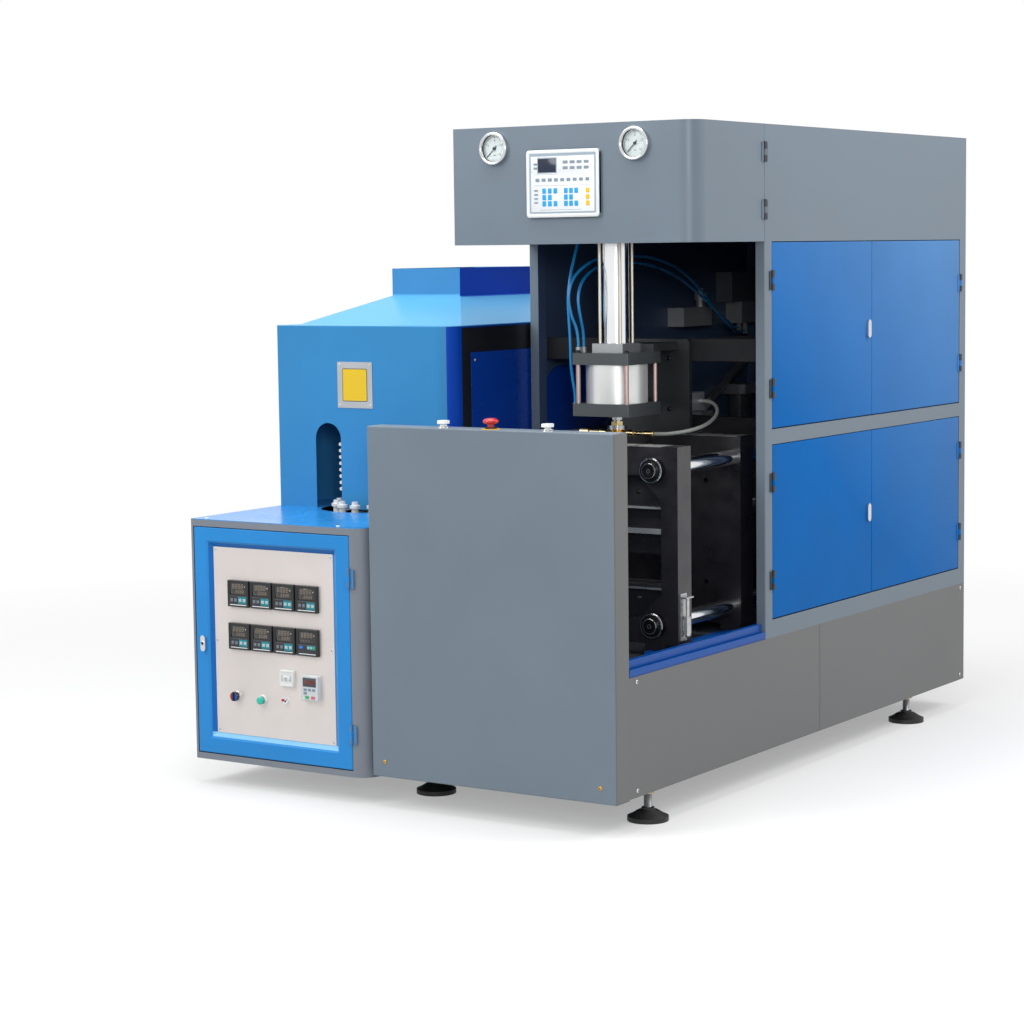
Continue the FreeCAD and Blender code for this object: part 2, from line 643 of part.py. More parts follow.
def housing_panels():
    """Left wall with its window, rear wall with louvres, roof, and the window's rubber trim."""
    z = (BASE_TOP, BLOWER_H - SHEET)
    wall = box((0, SHEET), (HOUSING_Y, BLOWER_L - SHEET), z)
    canopy = box((0, SHEET), (CANOPY_Y + SHEET + SEAM, HOUSING_Y), (CANOPY_BOTTOM, z[1]))
    fold = box((0, POST_W), (HOUSING_Y, HOUSING_Y + SHEET), (z[0], CANOPY_BOTTOM))
    left = cut(fuse(wall, canopy, fold), window_hole(0))

    rear = box((0, BLOWER_W), (BLOWER_L - SHEET, BLOWER_L), z)
    slots = []
    for k in range(LOUVRE_N):
        low = LOWER_DOOR[0] + 60 + k * LOUVRE_PITCH
        for mid in (BLOWER_W / 3, BLOWER_W * 2 / 3):
            slots.append(box((mid - LOUVRE_L / 2, mid + LOUVRE_L / 2),
                             (BLOWER_L - SHEET - 1, BLOWER_L + 1), (low, low + LOUVRE_H)))
    rear = cut(rear, *slots)

    top = (BLOWER_H - SHEET, BLOWER_H)
    over_canopy = box((0, BLOWER_W - SHEET - SEAM), (CANOPY_Y + SHEET + SEAM, HOUSING_Y + 1), top)
    over_canopy = rounded(over_canopy, CANOPY_R - SHEET - SEAM, Z,
                          lambda p: p.x > BLOWER_W / 2 and p.y < HOUSING_Y - 1)
    roof = fuse(over_canopy, box((0, BLOWER_W), (HOUSING_Y, BLOWER_L), top))

    ring = cut(window_hole(TRIM_W), window_hole(-2))
    trim = cut(ring, cut(box((0, SHEET), (0, BLOWER_L), (0, BLOWER_H)), window_hole(0)))
    save("housing_panels", left, rear, roof, trim)


# ---------------------------------------------------------------- hinges
def hinge_leaf(x, y, z, side, which, face_x=None, face_y=None):
    """Leaf plate with its knuckles. side is +1 or -1 along the sheet it is screwed to.

    face_x: the sheet is the plane X = face_x; face_y: the sheet is the plane Y = face_y.
    """
    third = LEAF_H / 3
    plates = []
    for k in which:
        low = z - LEAF_H / 2 + k * third + (RUN_GAP if k == 1 else 0)
        high = z - LEAF_H / 2 + (k + 1) * third - (RUN_GAP if k == 1 else 0)
        barrel = rod(KNUCKLE_R, V(x, y, low), V(x, y, high))
        if face_x is not None:
            web = box((face_x, face_x + LEAF_T), sorted((y, y + side * LEAF_W)), (low, high))
        else:
            web = box(sorted((x, x + side * LEAF_W)), (face_y - LEAF_T, face_y), (low, high))
        plates.append(fuse(barrel, web))
    reach = (KNUCKLE_R + RUN_GAP, LEAF_W)
    if face_x is not None:
        span = sorted((y + side * reach[0], y + side * reach[1]))
        plates.append(box((face_x, face_x + LEAF_T), span, (z - LEAF_H / 2, z + LEAF_H / 2)))
    else:
        span = sorted((x + side * reach[0], x + side * reach[1]))
        plates.append(box(span, (face_y - LEAF_T, face_y), (z - LEAF_H / 2, z + LEAF_H / 2)))
    bore = PIN_R if len(which) == 2 else PIN_R + PIN_FIT
    return cut(fuse(*plates), rod(bore, V(x, y, z - LEAF_H), V(x, y, z + LEAF_H)))


def hinge_pin(x, y, z):
    """Headed pin, as long as its hinge."""
    shank = rod(PIN_R, V(x, y, z - LEAF_H / 2), V(x, y, z + LEAF_H / 2))
    head = rod(KNUCKLE_R, V(x, y, z + LEAF_H / 2), V(x, y, z + LEAF_H / 2 + PIN_HEAD))
    return fuse(shank, head)


SIDE_AXIS_X = BLOWER_W + KNUCKLE_R
DOOR_HINGES = {
    "door_upper_front": (DOOR_FRONT_Y - SEAM / 2, (UPPER_DOOR[0] + 108.0, UPPER_DOOR[1] - 103.0)),
    "door_upper_rear": (DOOR_REAR_Y + SEAM / 2, (UPPER_DOOR[0] + 122.0, UPPER_DOOR[1] - 132.0)),
    "door_lower_front": (DOOR_FRONT_Y - SEAM / 2, (LOWER_DOOR[0] + 106.0, LOWER_DOOR[1] - 102.0)),
    "door_lower_rear": (DOOR_REAR_Y + SEAM / 2, (LOWER_DOOR[0] + 114.0, LOWER_DOOR[1] - 106.0)),
}
CANOPY_HINGE_Y = HOUSING_Y - SEAM / 2
CANOPY_HINGE_Z = (CANOPY_BOTTOM + 84.0, BLOWER_H - 75.0)
CAB_AXIS_X = CAB_DOOR_X[1] + SEAM / 2
CAB_AXIS_Y = -KNUCKLE_R
CAB_HINGE_Z = (CAB_DOOR_Z[0] + 96.0, CAB_DOOR_Z[1] - 113.0)


def fixed_hinges():
    """The leaves that stay on the frames, and all pins."""
    solids = []
    for name, (y, heights) in DOOR_HINGES.items():
        side = -1 if y < DOOR_SPLIT_Y else 1
        for z in heights:
            solids.append(hinge_leaf(SIDE_AXIS_X, y, z, side, (0, 2), face_x=BLOWER_W))
            solids.append(hinge_pin(SIDE_AXIS_X, y, z))
    for z in CANOPY_HINGE_Z:
        solids.append(hinge_leaf(SIDE_AXIS_X, CANOPY_HINGE_Y, z, 1, (0, 2), face_x=BLOWER_W))
        solids.append(hinge_pin(SIDE_AXIS_X, CANOPY_HINGE_Y, z))
    for z in CAB_HINGE_Z:
        solids.append(hinge_leaf(CAB_AXIS_X, CAB_AXIS_Y, z, 1, (0, 2), face_y=0.0))
        solids.append(hinge_pin(CAB_AXIS_X, CAB_AXIS_Y, z))
    save("fixed_hinges", *solids)


# ---------------------------------------------------------------- side doors
def side_door(name, y, z):
    """Folded door tray with its moving hinge leaves."""
    outer = box((BLOWER_W - DOOR_FLANGE, BLOWER_W), y, z)
    for direction in (Z, Y):
        outer = rounded(outer, FOLD_R, direction, lambda p: p.x > BLOWER_W - FOLD_R)
    inner = box((BLOWER_W - DOOR_FLANGE - 1, BLOWER_W - SHEET), (y[0] + SHEET, y[1] - SHEET),
                (z[0] + SHEET, z[1] - SHEET))
    tray = cut(outer, inner)
    hinge_y, heights = DOOR_HINGES[name]
    side = 1 if hinge_y < DOOR_SPLIT_Y else -1
    leaves = [hinge_leaf(SIDE_AXIS_X, hinge_y, h, side, (1,), face_x=BLOWER_W) for h in heights]
    door = fuse(tray, *leaves)
    if side == 1:
        lock_z = sum(z) / 2
        door = cut(door, rod(LOCK_SHAFT_R + PIN_FIT, V(BLOWER_W - SHEET - 1, LOCK_Y, lock_z),
                             V(BLOWER_W + 1, LOCK_Y, lock_z)))
    save(name, door)


def door_lock(name, z):
    """Oval turn handle, its shaft through the door and the cam, hanging down unlocked."""
    mid = sum(z) / 2
    r = LOCK_W / 2
    reach = LOCK_H / 2 - r
    x = (BLOWER_W + RUN_GAP, BLOWER_W + LOCK_PROUD)
    ends = [rod(r, V(x[0], LOCK_Y, mid + s), V(x[1], LOCK_Y, mid + s)) for s in (-reach, reach)]
    handle = fuse(box(x, (LOCK_Y - r, LOCK_Y + r), (mid - reach, mid + reach)), *ends)
    behind_mullion = BLOWER_W - DOOR_FLANGE - DOOR_GAP - MULLION_W - CAM_GAP
    cam_x = (behind_mullion - CAM_T, behind_mullion)
    shaft = rod(LOCK_SHAFT_R, V(cam_x[0], LOCK_Y, mid), V(x[0], LOCK_Y, mid))
    cam = box(cam_x, (LOCK_Y - CAM_W / 2, LOCK_Y + CAM_W / 2), (mid - CAM_L, mid + CAM_W / 2))
    save(name, fuse(handle, shaft, cam))


def doors():
    front = (DOOR_FRONT_Y, DOOR_SPLIT_Y - SEAM / 2)
    rear = (DOOR_SPLIT_Y + SEAM / 2, DOOR_REAR_Y)
    side_door("door_upper_front", front, UPPER_DOOR)
    side_door("door_upper_rear", rear, UPPER_DOOR)
    side_door("door_lower_front", front, LOWER_DOOR)
    side_door("door_lower_rear", rear, LOWER_DOOR)
    door_lock("door_lock_upper", UPPER_DOOR)
    door_lock("door_lock_lower", LOWER_DOOR)


# ---------------------------------------------------------------- canopy cover
def canopy_outline(inset):
    """Plan outline of the cover's solid block: square left, rounded right front corner."""
    block = box((0, BLOWER_W - inset), (CANOPY_Y + inset, HOUSING_Y - SEAM), (CANOPY_BOTTOM, BLOWER_H))
    return rounded(block, CANOPY_R - inset, Z, lambda p: p.x > BLOWER_W / 2 and p.y < HOUSING_Y - SEAM - 1)


def canopy_cover():
    """Bent front cover of the canopy, with a stiffening lip below and its hinge leaves."""
    skin = cut(canopy_outline(0), canopy_outline(SHEET))
    lip = cut(canopy_outline(0), canopy_outline(CANOPY_LIP))
    lip = lip.common(box((SHEET + SEAM, BLOWER_W), (0, HOUSING_Y), (CANOPY_BOTTOM, CANOPY_BOTTOM + SHEET)))
    cover = fuse(skin, lip)
    holes = [rod(GAUGE_BODY_R, V(x, CANOPY_Y - 1, GAUGE_Z), V(x, CANOPY_Y + SHEET + 1, GAUGE_Z))
             for x in GAUGE_X]
    holes.append(box((HMI_X[0] + 12, HMI_X[1] - 12), (CANOPY_Y - 1, CANOPY_Y + SHEET + 1),
                     (HMI_Z[0] + 12, HMI_Z[1] - 12)))
    cover = cut(cover, *holes)
    leaves = [hinge_leaf(SIDE_AXIS_X, CANOPY_HINGE_Y, z, -1, (1,), face_x=BLOWER_W) for z in CANOPY_HINGE_Z]
    save("canopy_cover", fuse(cover, *leaves))


def pressure_gauges():
    """Cases with a rolled bezel, their dials and glasses."""
    cases, glasses = [], []
    front = CANOPY_Y - GAUGE_PROUD
    for x in GAUGE_X:
        at = V(x, front, GAUGE_Z)
        depth = GAUGE_PROUD + GAUGE_DEPTH
        case = turned([(DIAL_R, 0), (GAUGE_R, 3), (GAUGE_R, GAUGE_PROUD), (GAUGE_BODY_R, GAUGE_PROUD),
                       (GAUGE_BODY_R, depth), (0, depth), (0, 14), (DIAL_R + 1.5, 14),
                       (DIAL_R + 1.5, 4), (DIAL_R, 4)], at, Y)
        stem = rod(7, V(x, front + depth, GAUGE_Z), V(x, front + depth + 16, GAUGE_Z))
        cases.append(fuse(case, stem))
        cases.append(rod(DIAL_R, V(x, front + 13, GAUGE_Z), V(x, front + 14, GAUGE_Z)))
        glasses.append(rod(DIAL_R + 1.2, V(x, front + 4, GAUGE_Z), V(x, front + 6, GAUGE_Z)))
    save("pressure_gauges", *cases)
    save("gauge_glasses", *glasses)


def gauge_needle(name, x):
    """Pointer on its hub, at rest on zero at the lower left."""
    front = CANOPY_Y - GAUGE_PROUD
    y = (front + 9.0, front + 10.2)
    hub = rod(4, V(x, y[0] - 1, GAUGE_Z), V(x, front + 12.7, GAUGE_Z))
    outline = [V(x - 1.5, y[0], GAUGE_Z - 9), V(x + 1.5, y[0], GAUGE_Z - 9), V(x + 0.6, y[0], GAUGE_Z + 30),
               V(x - 0.6, y[0], GAUGE_Z + 30)]
    pointer = flat(outline).extrude(V(0, y[1] - y[0], 0))
    needle = fuse(hub, pointer)
    needle.rotate(V(x, 0, GAUGE_Z), Y, -135)
    save(name, needle)


def hmi_panel():
    """Operator panel: rounded bezel, body behind the cover and the sunk display."""
    bezel = box(HMI_X, (CANOPY_Y - HMI_PROUD, CANOPY_Y), HMI_Z)
    bezel = rounded(bezel, HMI_R, Y, lambda p: True)
    body = box((HMI_X[0] + 12, HMI_X[1] - 12), (CANOPY_Y - 1, CANOPY_Y + HMI_BODY_D), (HMI_Z[0] + 12, HMI_Z[1] - 12))
    sink = box(LCD_X, (CANOPY_Y - HMI_PROUD - 1, CANOPY_Y - HMI_PROUD + LCD_SINK + 1), LCD_Z)
    display = box(LCD_X, (CANOPY_Y - HMI_PROUD + LCD_SINK, CANOPY_Y - HMI_PROUD + LCD_SINK + 1), LCD_Z)
    save("hmi_panel", cut(fuse(bezel, body), sink), display)


# ---------------------------------------------------------------- clamp
def bar_centres():
    return [(AXIS_X + s * BAR_DX, z) for s in (-1, 1) for z in BAR_Z]


def platen_plate(half_w, y, thickness, bore, shoes=True):
    """Cast plate with its tie-bar bores and sliding shoes on the bed rails."""
    plate = box((AXIS_X - half_w, AXIS_X + half_w), (y, y + thickness), PLATEN_Z)
    if shoes:
        for s in (-1, 1):
            x = AXIS_X + s * BAR_DX
            shoe = box((x - SHOE_W / 2, x + SHOE_W / 2), (y, y + thickness),
                       (BASE_TOP + RAIL_H + RUN_GAP, PLATEN_Z[0]))
            plate = fuse(plate, shoe)
    bores = [rod(bore, V(x, y - 1, z), V(x, y + thickness + 1, z)) for x, z in bar_centres()]
    return cut(plate, *bores)


def octagon(y, depth, z, half_w, corner):
    """Pocket with its corners cut off clear of the tie-bar bosses."""
    x0, x1 = AXIS_X - half_w, AXIS_X + half_w
    outline = [V(x0 + corner, y, z[0]), V(x1 - corner, y, z[0]), V(x1, y, z[0] + corner),
               V(x1, y, z[1] - corner), V(x1 - corner, y, z[1]), V(x0 + corner, y, z[1]),
               V(x0, y, z[1] - corner), V(x0, y, z[0] + corner)]
    return flat(outline).extrude(V(0, depth, 0))


def mould_holes(y, thickness):
    """Bolt holes for the mould half, a rectangle about the mould's centre."""
    mid = sum(BAR_Z) / 2
    return [rod(MOULD_HOLE_R, V(AXIS_X + sx * MOULD_HOLE_DX / 2, y - 1, mid + sz * MOULD_HOLE_DZ / 2),
                V(AXIS_X + sx * MOULD_HOLE_DX / 2, y + thickness + 1, mid + sz * MOULD_HOLE_DZ / 2))
            for sx in (-1, 1) for sz in (-1, 1)]


def pitch_radius():
    return GEAR_M * GEAR_TEETH / 2


def rack(side, y, teeth):
    """Straight 20 degree rack on one side of the pinion, flush under its platen."""
    line = AXIS_X + side * pitch_radius()
    pitch = math.pi * GEAR_M
    half = pitch / 4 - GEAR_BACKLASH / 2
    slope = math.tan(math.radians(GEAR_ANGLE))
    root = line + side * GEAR_DEDENDUM
    tip = line - side * GEAR_ADDENDUM
    bar = box(sorted((root, root + side * RACK_BACK)), y, RACK_Z)
    pieces = []
    for k in range(teeth[0], teeth[1]):
        mid = STACK_Y + (k + 0.5) * pitch
        root_half = half + GEAR_DEDENDUM * slope
        tip_half = half - GEAR_ADDENDUM * slope
        outline = [V(root + side, mid - root_half, RACK_Z[0]), V(root, mid - root_half, RACK_Z[0]),
                   V(tip, mid - tip_half, RACK_Z[0]), V(tip, mid + tip_half, RACK_Z[0]),
                   V(root, mid + root_half, RACK_Z[0]), V(root + side, mid + root_half, RACK_Z[0])]
        pieces.append(flat(outline).extrude(V(0, 0, RACK_Z[1] - RACK_Z[0])))
    return fuse(bar, *pieces)


def involute_half(radius):
    """Half the angle that a pinion tooth fills at a radius."""
    base = pitch_radius() * math.cos(math.radians(GEAR_ANGLE))

    def unwind(r):
        a = math.acos(min(1.0, base / max(r, base)))
        return math.tan(a) - a
    at_pitch = (math.pi * GEAR_M / 2 - GEAR_BACKLASH) / (2 * pitch_radius())
    return at_pitch + unwind(pitch_radius()) - unwind(radius)


def sync_pinion():
    """Spur gear on a stud of the bed, between the racks of the two moving platens."""
    base = pitch_radius() * math.cos(math.radians(GEAR_ANGLE))
    radii = [pitch_radius() - GEAR_DEDENDUM, base, pitch_radius() - 1, pitch_radius() + 2,
             pitch_radius() + GEAR_ADDENDUM]
    points = []
    for k in range(GEAR_TEETH):
        mid = 2 * math.pi * k / GEAR_TEETH
        flank = [(r, involute_half(r)) for r in radii]
        for r, half in flank:
            points.append(V(r * math.cos(mid - half), r * math.sin(mid - half), 0))
        for r, half in reversed(flank):
            points.append(V(r * math.cos(mid + half), r * math.sin(mid + half), 0))
    height = PINION_Z[1] - PINION_Z[0]
    gear = flat(points).extrude(V(0, 0, height))
    bore = rod(PINION_BORE + BAR_FIT, V(0, 0, -PAST), V(0, 0, height + PAST))
    gear = cut(gear, bore)
    gear.translate(V(AXIS_X, STACK_Y, PINION_Z[0]))
    save("sync_pinion", gear)


def foot_block(side, y):
    """Block that hangs a rack from the underside of its platen."""
    root = AXIS_X + side * (pitch_radius() + GEAR_DEDENDUM)
    return box(sorted((root, root + side * RACK_BACK)), y, (RACK_Z[0], PLATEN_Z[0]))


def platens():
    """Front platen with its ribbed pocket, moving platen and rear platen."""
    mid = sum(BAR_Z) / 2
    front = platen_plate(FRONT_PLATEN_HALF_W, PLATEN_Y, PLATEN_T, BAR_R)
    pocket = octagon(PLATEN_Y - PAST, POCKET_DEPTH + PAST, POCKET_Z, POCKET_HALF_W, POCKET_CORNER)
    ribs = []
    for low, high, sunk in PLATEN_RIBS:
        ribs.append(box((AXIS_X - POCKET_HALF_W, AXIS_X + POCKET_HALF_W),
                        (PLATEN_Y + sunk, PLATEN_Y + POCKET_DEPTH), (low, high)))
    ribs.append(box((AXIS_X - SPINE_W / 2, AXIS_X + SPINE_W / 2), (PLATEN_Y, PLATEN_Y + POCKET_DEPTH), POCKET_Z))
    pocket = cut(pocket, *ribs)
    windows = []
    for s in (-1, 1):
        x = sorted((AXIS_X + s * SLIT_INNER, AXIS_X + s * (POCKET_HALF_W - SLIT_RIM)))
        windows.append(box(x, (PLATEN_Y, PLATEN_Y + PLATEN_T + PAST), SLIT_Z))
    front = cut(front, pocket, *windows, *mould_holes(PLATEN_Y, PLATEN_T))
    teeth_y = STACK_Y + RACK_SPARE
    front_rack = rack(-1, (PLATEN_Y, teeth_y + GEAR_M * 3), (-8, 2))
    save("front_platen", fuse(front, front_rack, foot_block(-1, (PLATEN_Y, PLATEN_Y + PLATEN_T))))

    moving = platen_plate(MOVING_PLATEN_HALF_W, MOVING_PLATEN_Y, PLATEN_T, BAR_R + BAR_FIT)
    rear_y = MOVING_PLATEN_Y + PLATEN_T
    back_pocket = octagon(rear_y - BACK_POCKET_D, BACK_POCKET_D + PAST, (POCKET_Z[0], mid - 2 * ROD_R),
                          MOVING_PLATEN_HALF_W - SHOE_W, BACK_POCKET_CORNER)
    moving = cut(moving, back_pocket, *mould_holes(MOVING_PLATEN_Y, PLATEN_T - BACK_POCKET_D))
    moving_rack = rack(1, (STACK_Y - RACK_SPARE - GEAR_M * 3, rear_y), (-2, 8))
    save("moving_platen", fuse(moving, moving_rack, foot_block(1, (MOVING_PLATEN_Y, rear_y))))

    rear = platen_plate(MOVING_PLATEN_HALF_W, REAR_PLATEN_Y, REAR_PLATEN_T, BAR_R)
    rod_bore = rod(ROD_R + BAR_FIT, V(AXIS_X, REAR_PLATEN_Y - PAST, mid),
                   V(AXIS_X, REAR_PLATEN_Y + REAR_PLATEN_T + PAST, mid))
    save("rear_platen", cut(rear, rod_bore))


def tie_bars():
    """Four chromed bars with a stepped end and a round nut at each end."""
    solids = []
    ends = (PLATEN_Y - BAR_NUT_T - BAR_TIP_L, REAR_PLATEN_Y + REAR_PLATEN_T + BAR_NUT_T + BAR_TIP_L)
    nuts_y = (PLATEN_Y - BAR_NUT_T, REAR_PLATEN_Y + REAR_PLATEN_T)
    for x, z in bar_centres():
        bar = rod(BAR_R, V(x, ends[0] + BAR_TIP_L, z), V(x, ends[1] - BAR_TIP_L, z))
        tip = rod(BAR_TIP_R, V(x, ends[0], z), V(x, ends[1], z))
        solids.append(fuse(bar, tip))
        for y in nuts_y:
            nut = rod(BAR_NUT_R, V(x, y, z), V(x, y + BAR_NUT_T, z))
            solids.append(cut(nut, rod(BAR_R, V(x, y - 1, z), V(x, y + BAR_NUT_T + 1, z))))
    save("tie_bars", *solids)


def clamp_cylinder():
    """Air cylinder behind the rear platen: two square caps, barrel and four tie rods."""
    mid = sum(BAR_Z) / 2
    y0 = REAR_PLATEN_Y + REAR_PLATEN_T
    y1 = y0 + CYL_L

    def cap(low):
        block = box((AXIS_X - CYL_CAP_HALF, AXIS_X + CYL_CAP_HALF), (low, low + CYL_CAP),
                    (mid - CYL_CAP_HALF, mid + CYL_CAP_HALF))
        return rounded(block, 12, Y, lambda p: True)
    front = cut(cap(y0), rod(ROD_R + BAR_FIT, V(AXIS_X, y0 - 1, mid), V(AXIS_X, y0 + CYL_CAP + 1, mid)))
    rear = cap(y1 - CYL_CAP)
    barrel = cut(rod(CYL_BORE_R + CYL_WALL, V(AXIS_X, y0 + CYL_CAP, mid), V(AXIS_X, y1 - CYL_CAP, mid)),
                 rod(CYL_BORE_R, V(AXIS_X, y0, mid), V(AXIS_X, y1, mid)))
    reach = CYL_CAP_HALF - 14
    rods = [rod(6, V(AXIS_X + a * reach, y0 + CYL_CAP, mid + b * reach),
                V(AXIS_X + a * reach, y1 - CYL_CAP, mid + b * reach)) for a in (-1, 1) for b in (-1, 1)]
    save("clamp_cylinder", front, rear, barrel, *rods)


def clamp_rod():
    """Piston rod screwed to the moving platen, with the piston on its rear end."""
    mid = sum(BAR_Z) / 2
    start = MOVING_PLATEN_Y + PLATEN_T
    y1 = REAR_PLATEN_Y + REAR_PLATEN_T + CYL_L - CYL_CAP - 10
    flange = rod(ROD_R + 25, V(AXIS_X, start, mid), V(AXIS_X, start + 20, mid))
    shaft = rod(ROD_R, V(AXIS_X, start, mid), V(AXIS_X, y1, mid))
    piston = rod(CYL_BORE_R - BAR_FIT, V(AXIS_X, y1 - PISTON_T, mid), V(AXIS_X, y1, mid))
    save("clamp_rod", fuse(flange, shaft, piston))


def limit_switch():
    """Roller switch on the lower right side of the front platen."""
    x = AXIS_X + FRONT_PLATEN_HALF_W
    y = (PLATEN_Y + 8, PLATEN_Y + 40)
    low, high = SWITCH_Z
    axis = V(x + SWITCH_OUT, PLATEN_Y + 26, 0)
    plate = box((x, x + 3), y, SWITCH_Z)
    shelf = box((x, x + 20), (y[0], y[1] + 6), (high - 12, high - 8))
    body = rod(SWITCH_BODY_R, axis + Z * (low + 19), axis + Z * (low + 64))
    neck = rod(5, axis + Z * (low + 64), axis + Z * (high - 12))
    link = box((x + 3, x + SWITCH_OUT), (PLATEN_Y + 22, PLATEN_Y + 30), (low + 26, low + 56))
    head = Part.makeSphere(8, axis + Z * (low + 16))
    save("limit_switch", fuse(plate, shelf, body, neck, link, head))


# ---------------------------------------------------------------- stretch and seal cylinders
def seal_plate(z):
    """Square end plate of the seal cylinder."""
    plate = box((AXIS_X - SEAL_HALF, AXIS_X + SEAL_HALF), (STACK_Y - SEAL_HALF, STACK_Y + SEAL_HALF), z)
    return rounded(plate, 3, Z, lambda p: True)


def seal_rod_centres():
    reach = SEAL_HALF - SEAL_ROD_INSET
    return [(AXIS_X + a * reach, STACK_Y + b * reach) for a in (-1, 1) for b in (-1, 1)]


def seal_cylinder():
    """Short wide cylinder that presses the nozzle down: base, head, barrel and long bolts."""
    def through(z):
        return AXIS + Z * (z[0] - PAST), AXIS + Z * (z[1] + PAST)
    base = cut(seal_plate(SEAL_BASE_Z), rod(STEM_R + BAR_FIT, *through(SEAL_BASE_Z)))
    head = cut(seal_plate(SEAL_HEAD_Z), rod(STRETCH_ROD_R + BAR_FIT, *through(SEAL_HEAD_Z)))
    between = (SEAL_BASE_Z[1], SEAL_HEAD_Z[0])
    barrel = cut(rod(SEAL_R, AXIS + Z * between[0], AXIS + Z * between[1]), rod(SEAL_BORE_R, *through(between)))
    bolts = [rod(SEAL_ROD_R, V(x, y, between[0]), V(x, y, between[1])) for x, y in seal_rod_centres()]
    save("seal_cylinder", base, head, barrel, *bolts)


def stretch_cylinder():
    """Long chromed tube with a square cap at each end and four thin tie rods."""
    low, high = SEAL_HEAD_Z[1], STRETCH_TOP
    x = (AXIS_X - STRETCH_CAP_HALF, AXIS_X + STRETCH_CAP_HALF)
    y = (STACK_Y - STRETCH_CAP_HALF, STACK_Y + STRETCH_CAP_HALF)
    floor = low + STRETCH_CAP_T
    foot_cap = cut(box(x, y, (low, floor)),
                   rod(STRETCH_ROD_R + BAR_FIT, AXIS + Z * (low - PAST), AXIS + Z * (floor + PAST)))
    head_cap = box(x, y, (high, high + STRETCH_CAP_T))
    tube = cut(rod(STRETCH_R, AXIS + Z * floor, AXIS + Z * high),
               rod(STRETCH_BORE_R, AXIS + Z * (floor - PAST), AXIS + Z * (high + PAST)))
    ties = []
    for a in (-1, 1):
        for b in (-1, 1):
            at = AXIS + V(a * STRETCH_TIE_DX, b * STRETCH_TIE_DX, 0)
            ties.append(rod(STRETCH_TIE_R, at + Z * floor, at + Z * high))
    save("stretch_cylinder", foot_cap, head_cap, tube, *ties)


def stretch_rod():
    """Slim rod that stretches the preform, with its piston at the top of the tube."""
    tip = NOZZLE_Z + 6
    top = STRETCH_TOP - 8
    shaft = rod(STRETCH_ROD_R, AXIS + Z * (tip + STRETCH_ROD_R), AXIS + Z * top)
    ball = Part.makeSphere(STRETCH_ROD_R, AXIS + Z * (tip + STRETCH_ROD_R))
    piston = rod(STRETCH_BORE_R - BAR_FIT, AXIS + Z * (top - STRETCH_PISTON_T), AXIS + Z * top)
    save("stretch_rod", fuse(shaft, ball, piston))


def blow_nozzle():
    """Hollow stem with its piston, nozzle body, flange and nut, and the brass air fittings.

    Blow air runs down the ring between the bore and the stretch rod.
    """
    piston_z = SEAL_HEAD_Z[0] - SEAL_PISTON_T - NOZZLE_PISTON_GAP
    flange_z = NOZZLE_Z + NOZZLE_BODY_H
    ring_z = flange_z + NOZZLE_FLANGE_T
    nut_z = SEAL_BASE_Z[0] - STEM_NUT_H
    bore = rod(ROD_BORE_R, AXIS + Z * (NOZZLE_Z - PAST), AXIS + Z * SEAL_HEAD_Z[0])
    piston = rod(SEAL_BORE_R - BAR_FIT, AXIS + Z * piston_z, AXIS + Z * (piston_z + SEAL_PISTON_T))
    stem = rod(STEM_R, AXIS + Z * ring_z, AXIS + Z * piston_z)
    body = turned([(0, 0), (NOZZLE_BODY_R - 4, 0), (NOZZLE_BODY_R, 4), (NOZZLE_BODY_R, NOZZLE_BODY_H),
                   (0, NOZZLE_BODY_H)], AXIS + Z * NOZZLE_Z)
    flange = rod(NOZZLE_R, AXIS + Z * flange_z, AXIS + Z * ring_z)
    nut = cut(hexagon(STEM_NUT_AF, AXIS + Z * nut_z, STEM_NUT_H - RUN_GAP), stem)
    save("blow_nozzle", *[cut(piece, bore) for piece in (piston, stem, body, flange)], nut)

    ring = cut(hexagon(RING_AF, AXIS + Z * ring_z, RING_H), stem)
    fittings = [ring]
    for s, length in ((-1, FITTING_LEFT), (1, FITTING_RIGHT)):
        start = AXIS + V(s * NOZZLE_BODY_R, 0, FITTING_Z)
        nipple = rod(5, start, start + X * (s * length))
        collar = turned([(0, 0), (9.5, 0), (9.5, 20), (0, 20)], start + X * (s * 12), X * s)
        union = turned([(0, 0), (8.5, 0), (8.5, 26), (0, 26)], start + X * (s * (length - 30)), X * s)
        fittings.append(fuse(nipple, collar, union))
    save("nozzle_fittings", *fittings)


def cylinder_bracket():
    """Dark steel plate on the cross beam and the arm that grips the cylinders from behind."""
    plate = box((AXIS_X - BRACKET_HALF_W, AXIS_X + BRACKET_HALF_W), (BRACKET_Y, BRACKET_Y + BRACKET_T), BRACKET_Z)
    plate = rounded(plate, BRACKET_R, Y, lambda p: True)
    seat = STACK_Y + STRETCH_CAP_HALF
    arm = box((AXIS_X - SEAL_HALF, AXIS_X + SEAL_HALF), (seat, BRACKET_Y), (SEAL_HEAD_Z[1], SEAL_HEAD_Z[1] + ARM_T))
    save("cylinder_bracket", fuse(plate, arm))


